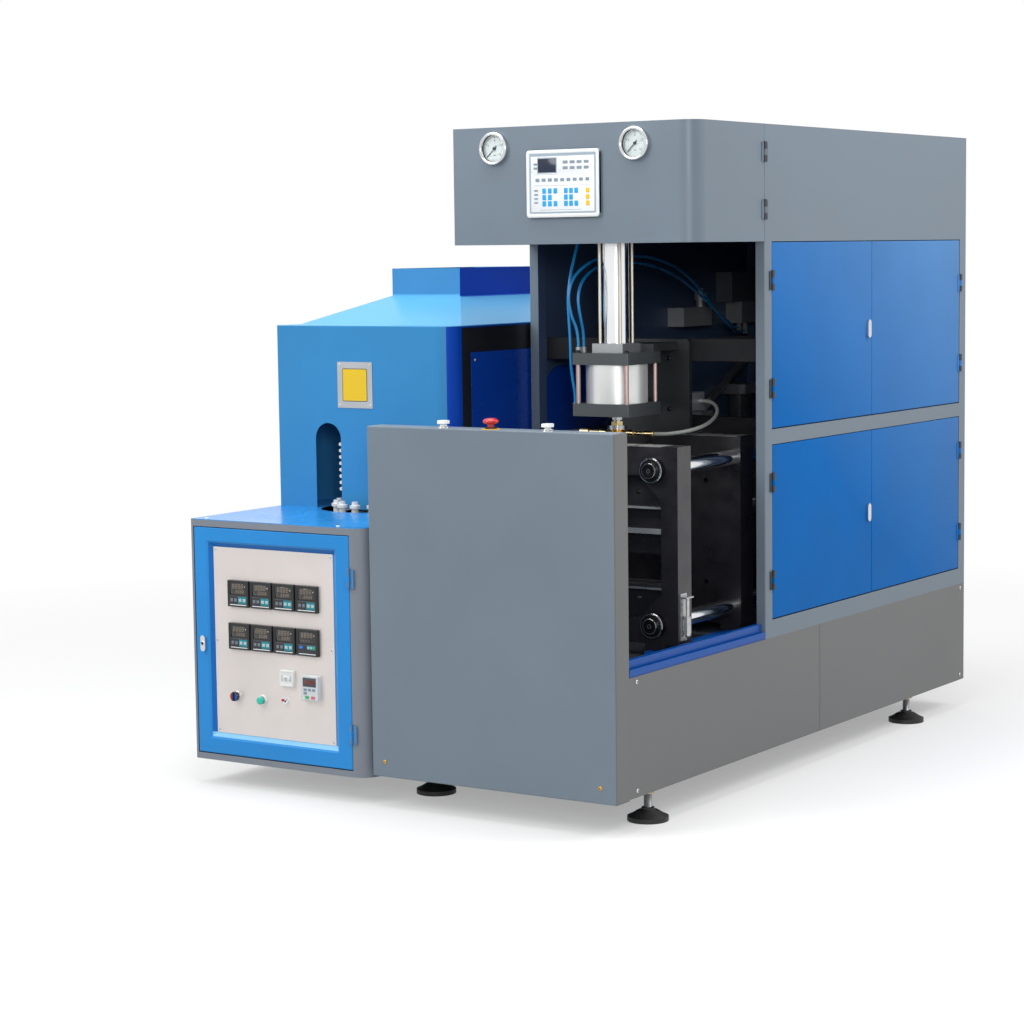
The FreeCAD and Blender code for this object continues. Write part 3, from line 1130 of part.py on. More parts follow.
# ---------------------------------------------------------------- air supply
def valve_blocks():
    """Valve blocks, control box and shelf on the housing's left wall, and the hose ports."""
    wall = (SHEET, SHEET + VALVE_DEPTH)
    block_a = box(wall, VALVE_A_Y, VALVE_A_Z)
    port = V(SHEET + VALVE_DEPTH / 2, FITTING_STACK_Y, VALVE_A_Z[1])
    stack = fuse(rod(14, port, port + Z * 18), rod(20, port + Z * 18, port + Z * 44),
                 rod(8, port + Z * 44, port + Z * 58))
    shelf = box(wall, SHELF_Y, SHELF_Z)
    control_box = box(wall, CONTROL_BOX_Y, CONTROL_BOX_Z)
    block_b = box(wall, VALVE_B_Y, (VALVE_A_Z[0], CONTROL_BOX_Z[0]))
    elbows = []
    for end in (V(*PORTS_A[1]), V(*PORTS_B[1])):
        corner = end + Y * (PORT_R + PAST)
        elbows.append(fuse(hexagon(2 * PORT_R, corner - Z * (PORT_R + PAST), VALVE_A_Z[0] - end.z + PORT_R + PAST),
                           rod(PORT_R - PAST, end, corner)))
    ports = [rod(PORT_R, V(p[0], p[1], SEAL_HEAD_Z[1]), V(*p)) for p in (PORTS_A[0], PORTS_B[0])]
    low, high = V(*PORTS_C[0]), V(*PORTS_C[1])
    elbow = low - Z * PORT_H
    ports.append(fuse(rod(PORT_R, V(AXIS_X - SEAL_HALF, elbow.y, elbow.z), elbow), rod(PORT_R, elbow, low),
                      Part.makeSphere(PORT_R, elbow)))
    ports.append(rod(PORT_R, high, V(high.x, high.y, BLOWER_H - SHEET - POST_D)))
    end = V(*PORTS_N[1])
    valve_y = BRACKET_Y + BRACKET_T
    blow_valve = box((end.x - BLOW_VALVE_W - PORT_R, end.x - PORT_R), (valve_y, valve_y + BLOW_VALVE_D),
                     (end.z - BLOW_VALVE_H / 2, end.z + BLOW_VALVE_H / 2))
    blow_valve = fuse(blow_valve, rod(PORT_R, end - X * (PORT_R + PAST), end))
    save("valve_blocks", block_a, stack, shelf, *air_treatment(), fuse(control_box, block_b), *elbows,
         *ports, blow_valve)


def air_treatment():
    """Main air pipe from under the shelf down to its wall block, and the filter with its bowl."""
    x = SHEET + PIPE_OUT
    corner = V(x, VALVE_B_Y[1] - PIPE_INSET, SHELF_Z[0] - PIPE_DROP)
    foot = V(x, VALVE_A_Y[1] - PIPE_FOOT_INSET, FOOT_BLOCK_Z[1])
    foot_block = box((SHEET, SHEET + VALVE_DEPTH), (foot.y - FOOT_BLOCK_HALF, foot.y + FOOT_BLOCK_HALF),
                     FOOT_BLOCK_Z)
    slope = foot - corner
    inside = foot + slope * (PIPE_R / -slope.z)
    drop = rod(PIPE_R, V(corner.x, corner.y, SHELF_Z[0]), corner)
    pipe = cut(fuse(drop, Part.makeSphere(PIPE_R, corner), rod(PIPE_R, corner, inside)), foot_block)
    centre = V(SHEET + FILTER_HALF, VALVE_B_Y[0] + 9.0, 0)
    head = box((SHEET, SHEET + 2 * FILTER_HALF), (centre.y - FILTER_HALF, centre.y + FILTER_HALF), FILTER_Z)
    bowl = turned([(0, BOWL_BOTTOM), (BOWL_R - 12, BOWL_BOTTOM), (BOWL_R, BOWL_BOTTOM + 12), (BOWL_R, FILTER_Z[0]),
                   (0, FILTER_Z[0])], centre)
    return [pipe, foot_block, fuse(head, bowl)]


def fitted(route, ends):
    """Route with its ends moved to their ports; the points between follow in proportion."""
    spans = len(route) - 3
    shifts = [V(*end) - V(*old) for end, old in zip(ends, (route[0], route[-1]))]
    shares = [min(1.0, max(0.0, (k - 1) / spans)) for k in range(len(route))]
    return [V(*p) + shifts[0] * (1 - share) + shifts[1] * share for p, share in zip(route, shares)]


def hose(name, radius, route):
    """Round tube along straight runs joined by the largest arcs that fit them."""
    edges, start, radii, length = [], route[0], [], 0.0
    for before, corner, after in zip(route, route[1:], route[2:]):
        arrive, leave = corner - before, after - corner
        half_turn = arrive.getAngle(leave) / 2
        bend = BEND_SHARE * min(arrive.Length, leave.Length) / math.tan(half_turn)
        reach = bend * math.tan(half_turn)
        first = corner - arrive.normalize() * reach
        last = corner + leave.normalize() * reach
        inward = (leave - arrive).normalize()
        middle = corner + inward * (bend / math.cos(half_turn) - bend)
        edges.append(Part.LineSegment(start, first).toShape())
        edges.append(Part.Arc(first, middle, last).toShape())
        length += (first - start).Length + bend * 2 * half_turn
        radii.append(bend)
        start = last
    edges.append(Part.LineSegment(start, route[-1]).toShape())
    length += (route[-1] - start).Length
    path = Part.Wire(edges)
    ring = Part.Wire(Part.makeCircle(radius, route[0], route[1] - route[0]))
    tube = path.makePipeShell([ring], True, False)
    share = tube.Volume / (math.pi * radius ** 2 * length)
    print("%s: length %.0f mm, radii %.0f to %.0f mm, volume ratio %.4f"
          % (name, length, min(radii), max(radii), share))
    save(name, tube)


def hoses():
    """Blue air lines of the two cylinders and the grey blow-air hose of the nozzle."""
    hose("air_hose_upper", HOSE_R, fitted(HOSE_A, PORTS_A))
    hose("air_hose_lower", HOSE_R, fitted(HOSE_B, PORTS_B))
    hose("air_hose_canopy", HOSE_R, fitted(HOSE_C, PORTS_C))
    hose("nozzle_hose", NOZZLE_HOSE_R, fitted(HOSE_N, PORTS_N))


# ---------------------------------------------------------------- hand controls
def control_bases():
    """Fixed collars and bodies of the push buttons on the front cover."""
    solids = []
    for x, r in [(a, START_R) for a in START_X] + [(ESTOP_X, START_R)]:
        face = V(x, CONTROL_Y, COVER_TOP)
        collar = rod(r + BUTTON_COLLAR, face, face + Z * BUTTON_COLLAR_H)
        body = rod(r - RUN_GAP / 2, face - Z * BUTTON_BODY_L, face)
        bore = rod(r - 2.5, face - Z * BUTTON_BORE_L, face + Z * (BUTTON_COLLAR_H + PAST))
        solids.append(cut(fuse(collar, body), bore))
    save("button_bases", *solids)


def push_button(name, x):
    """White square-capped start button."""
    stem = rod(START_R - 2.5 - PIN_FIT, V(x, CONTROL_Y, COVER_TOP - 14), V(x, CONTROL_Y, COVER_TOP + 10))
    cap = box((x - CAP_HALF, x + CAP_HALF), (CONTROL_Y - CAP_HALF, CONTROL_Y + CAP_HALF),
              (COVER_TOP + CAP_Z[0], COVER_TOP + CAP_Z[1]))
    save(name, fuse(stem, rounded(cap, 2, Z, lambda p: True)))


def emergency_button():
    """Red mushroom head on its stem."""
    at = V(ESTOP_X, CONTROL_Y, COVER_TOP)
    head = turned([(0, 14), (ESTOP_R - 6, 14), (ESTOP_R, 18), (ESTOP_R, 21), (ESTOP_R - 5, 26), (0, 28)], at)
    stem = rod(START_R - 2.5 - PIN_FIT, at - Z * 13, at + Z * 16)
    save("emergency_button", fuse(head, stem))


# ---------------------------------------------------------------- heater cabinet
def rounded_block(x, y, z, radius):
    """Block with a round right front corner."""
    block = box(x, y, z)
    return rounded(block, radius, Z, lambda p: p.x > sum(x) / 2 and p.y < sum(y) / 2)


def heater_cabinet():
    """Wrapped cabinet shell with the door opening and two welded spacers to the blower."""
    y = (0, HEATER_L)
    z = (HEATER_BOTTOM, HEATER_TOP - SHEET)
    outer = rounded_block(HEATER_X, y, z, HEATER_R)
    inner = rounded_block((HEATER_X[0] + SHEET, HEATER_X[1] - SHEET), (SHEET, HEATER_L - SHEET),
                          (HEATER_BOTTOM + SHEET, HEATER_TOP), HEATER_R - SHEET)
    opening = box((CAB_DOOR_X[0] - DOOR_GAP, CAB_DOOR_X[1] + DOOR_GAP), (-1, SHEET + 1),
                  (CAB_DOOR_Z[0] - DOOR_GAP, CAB_DOOR_Z[1] + DOOR_GAP))
    shell = cut(outer, inner, opening)
    spacers = [box((HEATER_X[1] - 1, 0), (b, b + LINK_SIDE), (LINK_Z, LINK_Z + LINK_SIDE)) for b in LINK_Y]
    save("heater_cabinet", fuse(shell, *spacers))


def slot_ring():
    """Endless slot that the chucks travel in."""
    a, b = V(CHAIN_X, CHAIN_FRONT_Y, HEATER_TOP - 20), V(CHAIN_X, CHAIN_REAR_Y, HEATER_TOP - 20)
    return cut(stadium(a, b, CHAIN_R + SLOT_HALF, 40), stadium(a, b, CHAIN_R - SLOT_HALF, 40))


def heater_top():
    """Blue top plate, and its island inside the slot on a beam and two posts."""
    plate = rounded_block(HEATER_X, (0, HEATER_L), (HEATER_TOP - SHEET, HEATER_TOP), HEATER_R)
    parts = cut(plate, slot_ring())
    island, rim = sorted(parts.Solids, key=lambda s: s.Volume)
    span = (CHAIN_FRONT_Y + SPROCKET_R + PILLAR_R, CHAIN_REAR_Y - SPROCKET_R - PILLAR_R)
    under = HEATER_TOP - ISLAND_BEAM_H
    beam = box((CHAIN_X - PILLAR_R, CHAIN_X + PILLAR_R), span, (under, HEATER_TOP - SHEET))
    posts = [rod(PILLAR_R, V(CHAIN_X, y, HEATER_BOTTOM + SHEET), V(CHAIN_X, y, under))
             for y in (span[0] + PILLAR_R, span[1] - PILLAR_R)]
    save("heater_top", rim, fuse(island, beam, *posts))


def chain_point(s):
    """Point and travel angle at distance s along the endless chain, from the front left."""
    straight = CHAIN_REAR_Y - CHAIN_FRONT_Y
    turn = math.pi * CHAIN_R
    s = s % (2 * straight + 2 * turn)
    if s < straight:
        return CHAIN_X - CHAIN_R, CHAIN_FRONT_Y + s, 90.0
    if s < straight + turn:
        a = math.pi - (s - straight) / CHAIN_R
        return CHAIN_X + CHAIN_R * math.cos(a), CHAIN_REAR_Y + CHAIN_R * math.sin(a), math.degrees(a) - 90
    if s < 2 * straight + turn:
        return CHAIN_X + CHAIN_R, CHAIN_REAR_Y - (s - straight - turn), -90.0
    a = -(s - 2 * straight - turn) / CHAIN_R
    return CHAIN_X + CHAIN_R * math.cos(a), CHAIN_FRONT_Y + CHAIN_R * math.sin(a), math.degrees(a) - 90


def sprocket(y, phase):
    """Toothed wheel on its shaft and bearing pillar; teeth sit in the gaps between links."""
    floor = HEATER_BOTTOM + SHEET
    low, high = SPROCKET_Z
    wheel = turned([(0, floor), (PILLAR_R, floor), (PILLAR_R, PILLAR_TOP), (SHAFT_R, PILLAR_TOP), (SHAFT_R, low),
                    (SPROCKET_R, low), (SPROCKET_R, high), (SHAFT_R, high), (SHAFT_R, high + 4), (0, high + 4)],
                   V(CHAIN_X, y, 0))
    teeth = []
    for k in range(SPROCKET_TEETH):
        tooth = box((SPROCKET_R - 4, CHAIN_R + 3), (-TOOTH_W / 2, TOOTH_W / 2), (low, high))
        tooth.rotate(V(0, 0, 0), Z, phase + 360.0 * k / SPROCKET_TEETH)
        tooth.translate(V(CHAIN_X, y, 0))
        teeth.append(tooth)
    return fuse(wheel, *teeth)


def chain_guide():
    """Endless rail under the links, carried on arms below the island's beam."""
    top = LINK_Z_RANGE[0]
    a, b = V(CHAIN_X, CHAIN_FRONT_Y, top - GUIDE_T), V(CHAIN_X, CHAIN_REAR_Y, top - GUIDE_T)
    rail = cut(stadium(a, b, CHAIN_R + GUIDE_HALF_W, GUIDE_T), stadium(a, b, CHAIN_R - GUIDE_HALF_W, GUIDE_T))
    reach = CHAIN_R + GUIDE_HALF_W
    beam_z = HEATER_TOP - ISLAND_BEAM_H
    arms = []
    for y in GUIDE_ARM_Y:
        span = (y - GUIDE_ARM_W / 2, y + GUIDE_ARM_W / 2)
        arms.append(box((CHAIN_X - reach, CHAIN_X + reach), span, (top - 2 * GUIDE_T, top - GUIDE_T)))
        arms.append(box((CHAIN_X - PILLAR_R, CHAIN_X + PILLAR_R), span, (top - GUIDE_T, beam_z)))
    return fuse(rail, *arms)


def conveyor():
    """Endless chain links with a white chuck on each, and the two sprockets."""
    straight = CHAIN_REAR_Y - CHAIN_FRONT_Y
    pitch = (2 * straight + 2 * math.pi * CHAIN_R) / CHUCK_N
    links, chucks = [], []
    low, high = CHUCK_Z
    for k in range(CHUCK_N):
        x, y, angle = chain_point((k + 0.5) * pitch)
        link = box((-pitch / 2 + LINK_GAP, pitch / 2 - LINK_GAP), (-LINK_HALF_W, LINK_HALF_W), LINK_Z_RANGE)
        link.rotate(V(0, 0, 0), Z, angle)
        link.translate(V(x, y, 0))
        links.append(link)
        under, over = CHUCK_COLLAR
        chucks.append(turned([(0, 0), (CHUCK_STEM_R, 0), (CHUCK_STEM_R, under), (CHUCK_R, under),
                              (CHUCK_R, over), (CHUCK_PIN_R, over + CHUCK_TAPER), (CHUCK_PIN_R, high - low),
                              (0, high - low)], V(x, y, low)))
    step = 360.0 / SPROCKET_TEETH
    rear_phase = 180.0 - step * (1.0 - (straight / pitch) % 1.0)
    front_phase = -step * (1.0 - ((2 * straight + math.pi * CHAIN_R) / pitch) % 1.0)
    sprockets = [sprocket(CHAIN_FRONT_Y, front_phase), sprocket(CHAIN_REAR_Y, rear_phase)]
    save("chain_links", *links, *sprockets, chain_guide())
    save("preform_chucks", *chucks)


# ---------------------------------------------------------------- heater door and control panel
def funnel(grow, depth):
    """Block between the recess mouth on the door's face and the panel at its floor."""
    def ring(x, z, y):
        corners = [V(x[0] - grow, y, z[0] - grow), V(x[1] + grow, y, z[0] - grow),
                   V(x[1] + grow, y, z[1] + grow), V(x[0] - grow, y, z[1] + grow)]
        return Part.makePolygon(corners + corners[:1])
    return Part.makeLoft([ring(RECESS_X, RECESS_Z, 0), ring(PANEL_X, PANEL_Z, depth)], True, True)


def cabinet_door():
    """Door tray with the bevelled recess that holds the control panel."""
    outer = box(CAB_DOOR_X, (0, DOOR_FLANGE), CAB_DOOR_Z)
    for direction in (Z, X):
        outer = rounded(outer, FOLD_R, direction, lambda p: p.y < FOLD_R)
    hollow = box((CAB_DOOR_X[0] + SHEET, CAB_DOOR_X[1] - SHEET), (SHEET, DOOR_FLANGE + PAST),
                 (CAB_DOOR_Z[0] + SHEET, CAB_DOOR_Z[1] - SHEET))
    back = RECESS_D + SHEET
    recess = funnel(0, RECESS_D)
    ledge_hole = box((PANEL_X[0] + PANEL_LEDGE, PANEL_X[1] - PANEL_LEDGE), (0, back + PAST),
                     (PANEL_Z[0] + PANEL_LEDGE, PANEL_Z[1] - PANEL_LEDGE))
    door = cut(fuse(cut(outer, hollow), funnel(SHEET, back)), recess, ledge_hole)
    leaves = [hinge_leaf(CAB_AXIS_X, CAB_AXIS_Y, z, -1, (1,), face_y=0.0) for z in CAB_HINGE_Z]
    bore = rod(LOCK_SHAFT_R + PIN_FIT, V(LATCH_X, -PAST, LATCH_Z), V(LATCH_X, SHEET + PAST, LATCH_Z))
    save("cabinet_door", cut(fuse(door, *leaves), bore))


def cabinet_latch():
    """Oval turn handle on the cabinet door with its cam, hanging down unlocked."""
    r, reach = LATCH_W / 2, (LATCH_H - LATCH_W) / 2
    y = (-LOCK_PROUD, -RUN_GAP)
    ends = [rod(r, V(LATCH_X, y[0], LATCH_Z + s), V(LATCH_X, y[1], LATCH_Z + s)) for s in (-reach, reach)]
    handle = fuse(box((LATCH_X - r, LATCH_X + r), y, (LATCH_Z - reach, LATCH_Z + reach)), *ends)
    cam_y = (DOOR_FLANGE + DOOR_GAP, DOOR_FLANGE + DOOR_GAP + CAM_T)
    shaft = rod(LOCK_SHAFT_R, V(LATCH_X, y[1], LATCH_Z), V(LATCH_X, cam_y[1], LATCH_Z))
    cam = box((LATCH_X - CAM_W / 2, LATCH_X + CAM_W / 2), cam_y, (LATCH_Z - LATCH_CAM_L, LATCH_Z + CAM_W / 2))
    save("cabinet_latch", fuse(handle, shaft, cam))


def panel_face():
    return RECESS_D - PANEL_T


def meter_centres():
    return [(METER_X + METER / 2 + c * METER_PITCH, z + METER / 2) for z in METER_Z for c in range(4)]


def control_panel():
    """Brushed steel plate with cut-outs for every instrument."""
    plate = box(PANEL_X, (panel_face(), RECESS_D), PANEL_Z)
    span = (panel_face() - 1, RECESS_D + 1)
    half = METER_BODY / 2
    holes = [box((x - half, x + half), span, (z - half, z + half)) for x, z in meter_centres()]
    holes.append(box((BREAKER_X[0] + 4, BREAKER_X[1] - 4), span, (BREAKER_Z[0] + 4, BREAKER_Z[1] - 4)))
    holes.append(box((KEYPAD_X[0] + 4, KEYPAD_X[1] - 4), span, (KEYPAD_Z[0] + 4, KEYPAD_Z[1] - 4)))
    for x, z in (SELECTOR, RUN_BUTTON):
        holes.append(rod(BEZEL_R, V(x, span[0], z), V(x, span[1], z)))
    holes.append(rod(TOGGLE_R, V(TOGGLE[0], span[0], TOGGLE[1]), V(TOGGLE[0], span[1], TOGGLE[1])))
    save("control_panel", cut(plate, *holes))


def panel_instruments():
    """Eight temperature controllers, the breaker and the drive's keypad."""
    face = panel_face()
    solids = []
    for x, z in meter_centres():
        half = METER / 2
        bezel = box((x - half, x + half), (face - METER_PROUD, face), (z - half, z + half))
        screen = box((x - half + 8, x + half - 8), (face - METER_PROUD - 1, face - METER_PROUD + 1.5),
                     (z - 2, z + half - 7))
        body_half = METER_BODY / 2
        body = box((x - body_half, x + body_half), (face - 1, face + METER_DEPTH), (z - body_half, z + body_half))
        solids.append(fuse(cut(bezel, screen), body))
    for x, z, proud in ((BREAKER_X, BREAKER_Z, 10), (KEYPAD_X, KEYPAD_Z, 14)):
        front = box(x, (face - proud, face), z)
        body = box((x[0] + 4, x[1] - 4), (face - 1, face + 40), (z[0] + 4, z[1] - 4))
        solids.append(fuse(rounded(front, 2.5, Y, lambda p: True), body))
    save("panel_instruments", *solids, *control_bezels())


def control_bezels():
    """Bored bezels of the hand controls, as they are clamped in the panel."""
    face = panel_face()
    solids = []
    for x, z in (SELECTOR, RUN_BUTTON):
        ring = rod(14, V(x, face - BEZEL_PROUD, z), V(x, face, z))
        body = rod(BEZEL_R, V(x, face - PAST, z), V(x, face + 36, z))
        bore = rod(BEZEL_BORE, V(x, face - BEZEL_PROUD - PAST, z), V(x, face + 26, z))
        solids.append(cut(fuse(ring, body), bore))
    x, z = TOGGLE
    nut = rod(9, V(x, face - 4, z), V(x, face, z))
    body = rod(TOGGLE_R, V(x, face - PAST, z), V(x, face + 24, z))
    solids.append(cut(fuse(nut, body), rod(4, V(x, face - 5, z), V(x, face + 14, z))))
    return solids


def panel_controls():
    """Selector knob, green button and red-tipped lever."""
    face = panel_face()
    x, z = SELECTOR
    ring_front = face - BEZEL_PROUD
    front = face - KNOB_PROUD
    knob = turned([(0, 0), (10, 0), (13, 3), (13, KNOB_H), (0, KNOB_H)], V(x, front + GRIP_PROUD, z), Y)
    grip = box((x - 3, x + 3), (front, front + GRIP_PROUD + PAST), (z - 11, z + 11))
    stem = rod(BEZEL_BORE - PIN_FIT, V(x, ring_front - 2, z), V(x, face + 20, z))
    save("selector_knob", fuse(knob, grip, stem))

    x, z = RUN_BUTTON
    cap = turned([(0, 0), (8, 0), (10, 2), (10, 6), (0, 6)], V(x, ring_front - RUN_TRAVEL - 7, z), Y)
    stem = rod(BEZEL_BORE - PIN_FIT, V(x, ring_front - RUN_TRAVEL - 2, z), V(x, face + 18, z))
    save("run_button", fuse(cap, stem))

    x, z = TOGGLE
    pivot = V(x, face + SHEET, z)
    tilt = math.radians(TOGGLE_TILT)
    along = V(0, -math.cos(tilt), math.sin(tilt))
    lever = rod(1.6, pivot, pivot + along * TOGGLE_L)
    bulb = Part.makeSphere(3.2, pivot + along * TOGGLE_L)
    ball = Part.makeSphere(3.4, pivot)
    pin = rod(TOGGLE_PIN_R, pivot - X * TOGGLE_PIN_HALF, pivot + X * TOGGLE_PIN_HALF)
    save("toggle_lever", fuse(lever, bulb, ball, pin))


# ---------------------------------------------------------------- heater hood
def arch(x_mid, y):
    """Round-topped tunnel mouth."""
    top = V(x_mid, y[0], ARCH_TOP - ARCH_W / 2)
    block = box((x_mid - ARCH_W / 2, x_mid + ARCH_W / 2), y, (HEATER_TOP - 1, ARCH_TOP - ARCH_W / 2))
    return fuse(block, rod(ARCH_W / 2, top, top + Y * (y[1] - y[0])))


def hood_shell():
    """Blue hood over the oven: four walls, two tunnel mouths and an open right bay."""
    z = (HEATER_TOP, HOOD_TOP)
    y = (HOOD_Y, HEATER_L)
    outer = rounded_block(HOOD_X, y, z, HOOD_R)
    inner = rounded_block((HOOD_X[0] + SHEET, HOOD_X[1] - SHEET), (HOOD_Y + SHEET, HEATER_L - SHEET),
                          (HEATER_TOP - 1, HOOD_TOP + 1), HOOD_R - SHEET)
    mouths = [arch(CHAIN_X + s * CHAIN_R, (HOOD_Y - 1, HOOD_Y + SHEET + 1)) for s in (-1, 1)]
    bay = box((HOOD_X[1] - SHEET - 1, HOOD_X[1] + 1), (HOOD_Y + HOOD_R + SHEET, HEATER_L - 30),
              (HEATER_TOP + 20, HOOD_TOP - 4))
    save("hood_shell", cut(outer, inner, *mouths, bay))


def pyramid(x, y, low, top_x, top_y, high):
    """Four-sided roof block between two level rectangles."""
    def ring(a, b, z):
        pts = [V(a[0], b[0], z), V(a[1], b[0], z), V(a[1], b[1], z), V(a[0], b[1], z)]
        return Part.makePolygon(pts + pts[:1])
    return Part.makeLoft([ring(x, y, low), ring(top_x, top_y, high)], True, True)


def hood_roof():
    """Flat rim, four slopes and the square chimney duct, welded in one."""
    rim = rounded_block(HOOD_X, (HOOD_Y, HEATER_L), (HOOD_TOP, HOOD_TOP + SHEET), HOOD_R)
    x = (HOOD_X[0] + ROOF_INSET_X, HOOD_X[1] - ROOF_INSET_X)
    y = (HOOD_Y + ROOF_INSET_Y, HEATER_L - ROOF_INSET_Y)
    slopes = pyramid(x, y, HOOD_TOP, CHIMNEY_X, CHIMNEY_Y, CHIMNEY_Z[0])
    stack = box(CHIMNEY_X, CHIMNEY_Y, (CHIMNEY_Z[0] - 1, CHIMNEY_Z[1]))
    inside = (CHIMNEY_X[0] + SHEET, CHIMNEY_X[1] - SHEET), (CHIMNEY_Y[0] + SHEET, CHIMNEY_Y[1] - SHEET)
    drop = 3.0
    hollow = pyramid((x[0] + 3 * drop, x[1] - 3 * drop), (y[0] + 3 * drop, y[1] - 3 * drop), HOOD_TOP - 1,
                     inside[0], inside[1], CHIMNEY_Z[0] - drop)
    shaft = box(inside[0], inside[1], (CHIMNEY_Z[0] - drop - 1, CHIMNEY_Z[1] + 1))
    save("hood_roof", cut(fuse(rim, slopes, stack), hollow, shaft))


def hood_plates():
    """Black frame plate and deep blue cover in the right bay, and the riveted plate in front."""
    black_x = (HOOD_X[1] - SHEET - 3, HOOD_X[1] - SHEET)
    frame = box(black_x, (HOOD_Y + HOOD_R, HEATER_L - SHEET), (HEATER_TOP, HOOD_TOP))
    cover = box((HOOD_X[1] - SHEET, HOOD_X[1] - SHEET + 1.5), (SIDE_COVER_Y, HEATER_L - 60),
                (HEATER_TOP + 25, SIDE_COVER_Z))
    plate = box(PLATE_X, (HOOD_Y - 1.5, HOOD_Y), PLATE_Z)
    rivets = [rod(3, V(x, HOOD_Y - 3, z), V(x, HOOD_Y - 1.5, z))
              for x in (PLATE_X[0] + 8, PLATE_X[1] - 8) for z in (PLATE_Z[0] + 8, PLATE_Z[1] - 8)]
    save("hood_plates", frame, cover, fuse(plate, *rivets))


def lamp_banks():
    """Lamp holders in the middle of the oven with two columns of quartz lamps."""
    post_x = (CHAIN_X - LAMP_POST_HALF, CHAIN_X + LAMP_POST_HALF)
    half = LAMP_POST_T / 2
    top = LAMP_Z + LAMP_N * LAMP_PITCH
    solids = [box(post_x, (y - half, y + half), (HEATER_TOP, top)) for y in LAMP_Y]
    for s in (-1, 1):
        for k in range(LAMP_N):
            x, z = CHAIN_X + s * LAMP_DX, LAMP_Z + k * LAMP_PITCH
            lamp = rod(LAMP_R, V(x, LAMP_Y[0] - LAMP_POST_T, z), V(x, LAMP_Y[1] + LAMP_POST_T, z))
            clip_x = sorted((CHAIN_X + s * LAMP_POST_HALF, x))
            clips = [box(clip_x, (y - half, y + half), (z - LAMP_R / 2, z + LAMP_R / 2)) for y in LAMP_Y]
            solids.append(fuse(lamp, *clips))
    save("lamp_banks", *solids)


# ---------------------------------------------------------------- screws
def panel_screws():
    """Round-headed screws of the sheets and covers."""
    def head(at, direction):
        return turned([(0, 0), (SCREW_R, 0), (SCREW_R * 0.8, SCREW_H * 0.7), (0, SCREW_H)], at, direction)
    solids = [head(V(BLOWER_W, y, z), X) for y in SIDE_SCREW_Y for z in SIDE_SCREW_Z]
    solids += [head(V(x, 0, COVER_SCREW_Z), Y * -1) for x in COVER_SCREW_X]
    solids += [head(V(x, TOP_SCREW_Y, HEATER_TOP), Z) for x in TOP_SCREW_X]
    solids.append(head(V(HOOD_X[1] - SHEET + 1.5, SIDE_COVER_Y + 20, SIDE_COVER_Z - 22), X))
    save("panel_screws", *solids)


def build():
    levelling_feet()
    base_frame()
    base_panels()
    bed_tracks()
    front_cover()
    housing_frame()
    housing_side_right()
    housing_panels()
    fixed_hinges()
    doors()
    canopy_cover()
    pressure_gauges()
    gauge_needle("gauge_needle_left", GAUGE_X[0])
    gauge_needle("gauge_needle_right", GAUGE_X[1])
    hmi_panel()
    platens()
    tie_bars()
    clamp_cylinder()
    clamp_rod()
    sync_pinion()
    limit_switch()
    seal_cylinder()
    stretch_cylinder()
    stretch_rod()
    blow_nozzle()
    cylinder_bracket()
    valve_blocks()
    hoses()
    control_bases()
    push_button("start_button_left", START_X[0])
    push_button("start_button_right", START_X[1])
    emergency_button()
    heater_cabinet()
    heater_top()
    conveyor()
    cabinet_door()
    cabinet_latch()
    control_panel()
    panel_instruments()
    panel_controls()
    hood_shell()
    hood_roof()
    hood_plates()
    lamp_banks()
    panel_screws()


build()
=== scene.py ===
"""Looks of a stretch blow moulding machine with its infrared preform heater.

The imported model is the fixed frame. Places are given in millimetres from the blower's
left front corner on the floor, X to its right, Y to its rear and Z up, as its maker
would measure them, and at() turns them into the frame's metres.
"""
import math

import bpy
import numpy as np
from mathutils import Matrix, Vector


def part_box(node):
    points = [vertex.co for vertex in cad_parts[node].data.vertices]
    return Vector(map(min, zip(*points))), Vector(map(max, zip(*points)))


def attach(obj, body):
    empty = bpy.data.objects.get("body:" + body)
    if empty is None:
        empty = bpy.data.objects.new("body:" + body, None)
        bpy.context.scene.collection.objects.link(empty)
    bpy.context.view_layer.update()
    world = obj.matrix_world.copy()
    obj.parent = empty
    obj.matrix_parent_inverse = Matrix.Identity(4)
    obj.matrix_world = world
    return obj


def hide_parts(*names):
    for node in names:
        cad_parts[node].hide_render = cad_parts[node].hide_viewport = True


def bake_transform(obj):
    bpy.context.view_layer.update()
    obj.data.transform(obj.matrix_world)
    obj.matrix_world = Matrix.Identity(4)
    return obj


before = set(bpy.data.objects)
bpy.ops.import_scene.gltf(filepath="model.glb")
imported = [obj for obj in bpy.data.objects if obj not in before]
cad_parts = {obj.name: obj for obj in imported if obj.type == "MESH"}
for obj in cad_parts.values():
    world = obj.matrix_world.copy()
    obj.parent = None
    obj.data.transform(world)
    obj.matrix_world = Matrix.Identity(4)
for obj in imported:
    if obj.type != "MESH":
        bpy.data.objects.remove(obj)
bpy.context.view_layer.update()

bl_info = {
    "name": "Blow Moulding Machine",
    "version": (1, 0, 0),
    "blender": (4, 5, 0),
    "location": "View3D > Sidebar > Machine",
    "description": "Finishes, instruments, hoses and studio of a stretch blow moulding machine",
    "category": "Object",
}

MM = 0.001
CORNER = Vector((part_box("front_cover")[0].x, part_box("front_cover")[0].y, 0.0))


def at(x, y, z):
    """Frame point of a place in millimetres from the blower's left front corner."""
    return CORNER + Vector((x, y, z)) * MM


def linear(hex_colour):
    """sRGB hex such as 6f7a82 as linear RGBA."""
    srgb = [int(hex_colour[i:i + 2], 16) / 255 for i in (0, 2, 4)]
    return [c / 12.92 if c <= 0.04045 else ((c + 0.055) / 1.055) ** 2.4 for c in srgb] + [1.0]


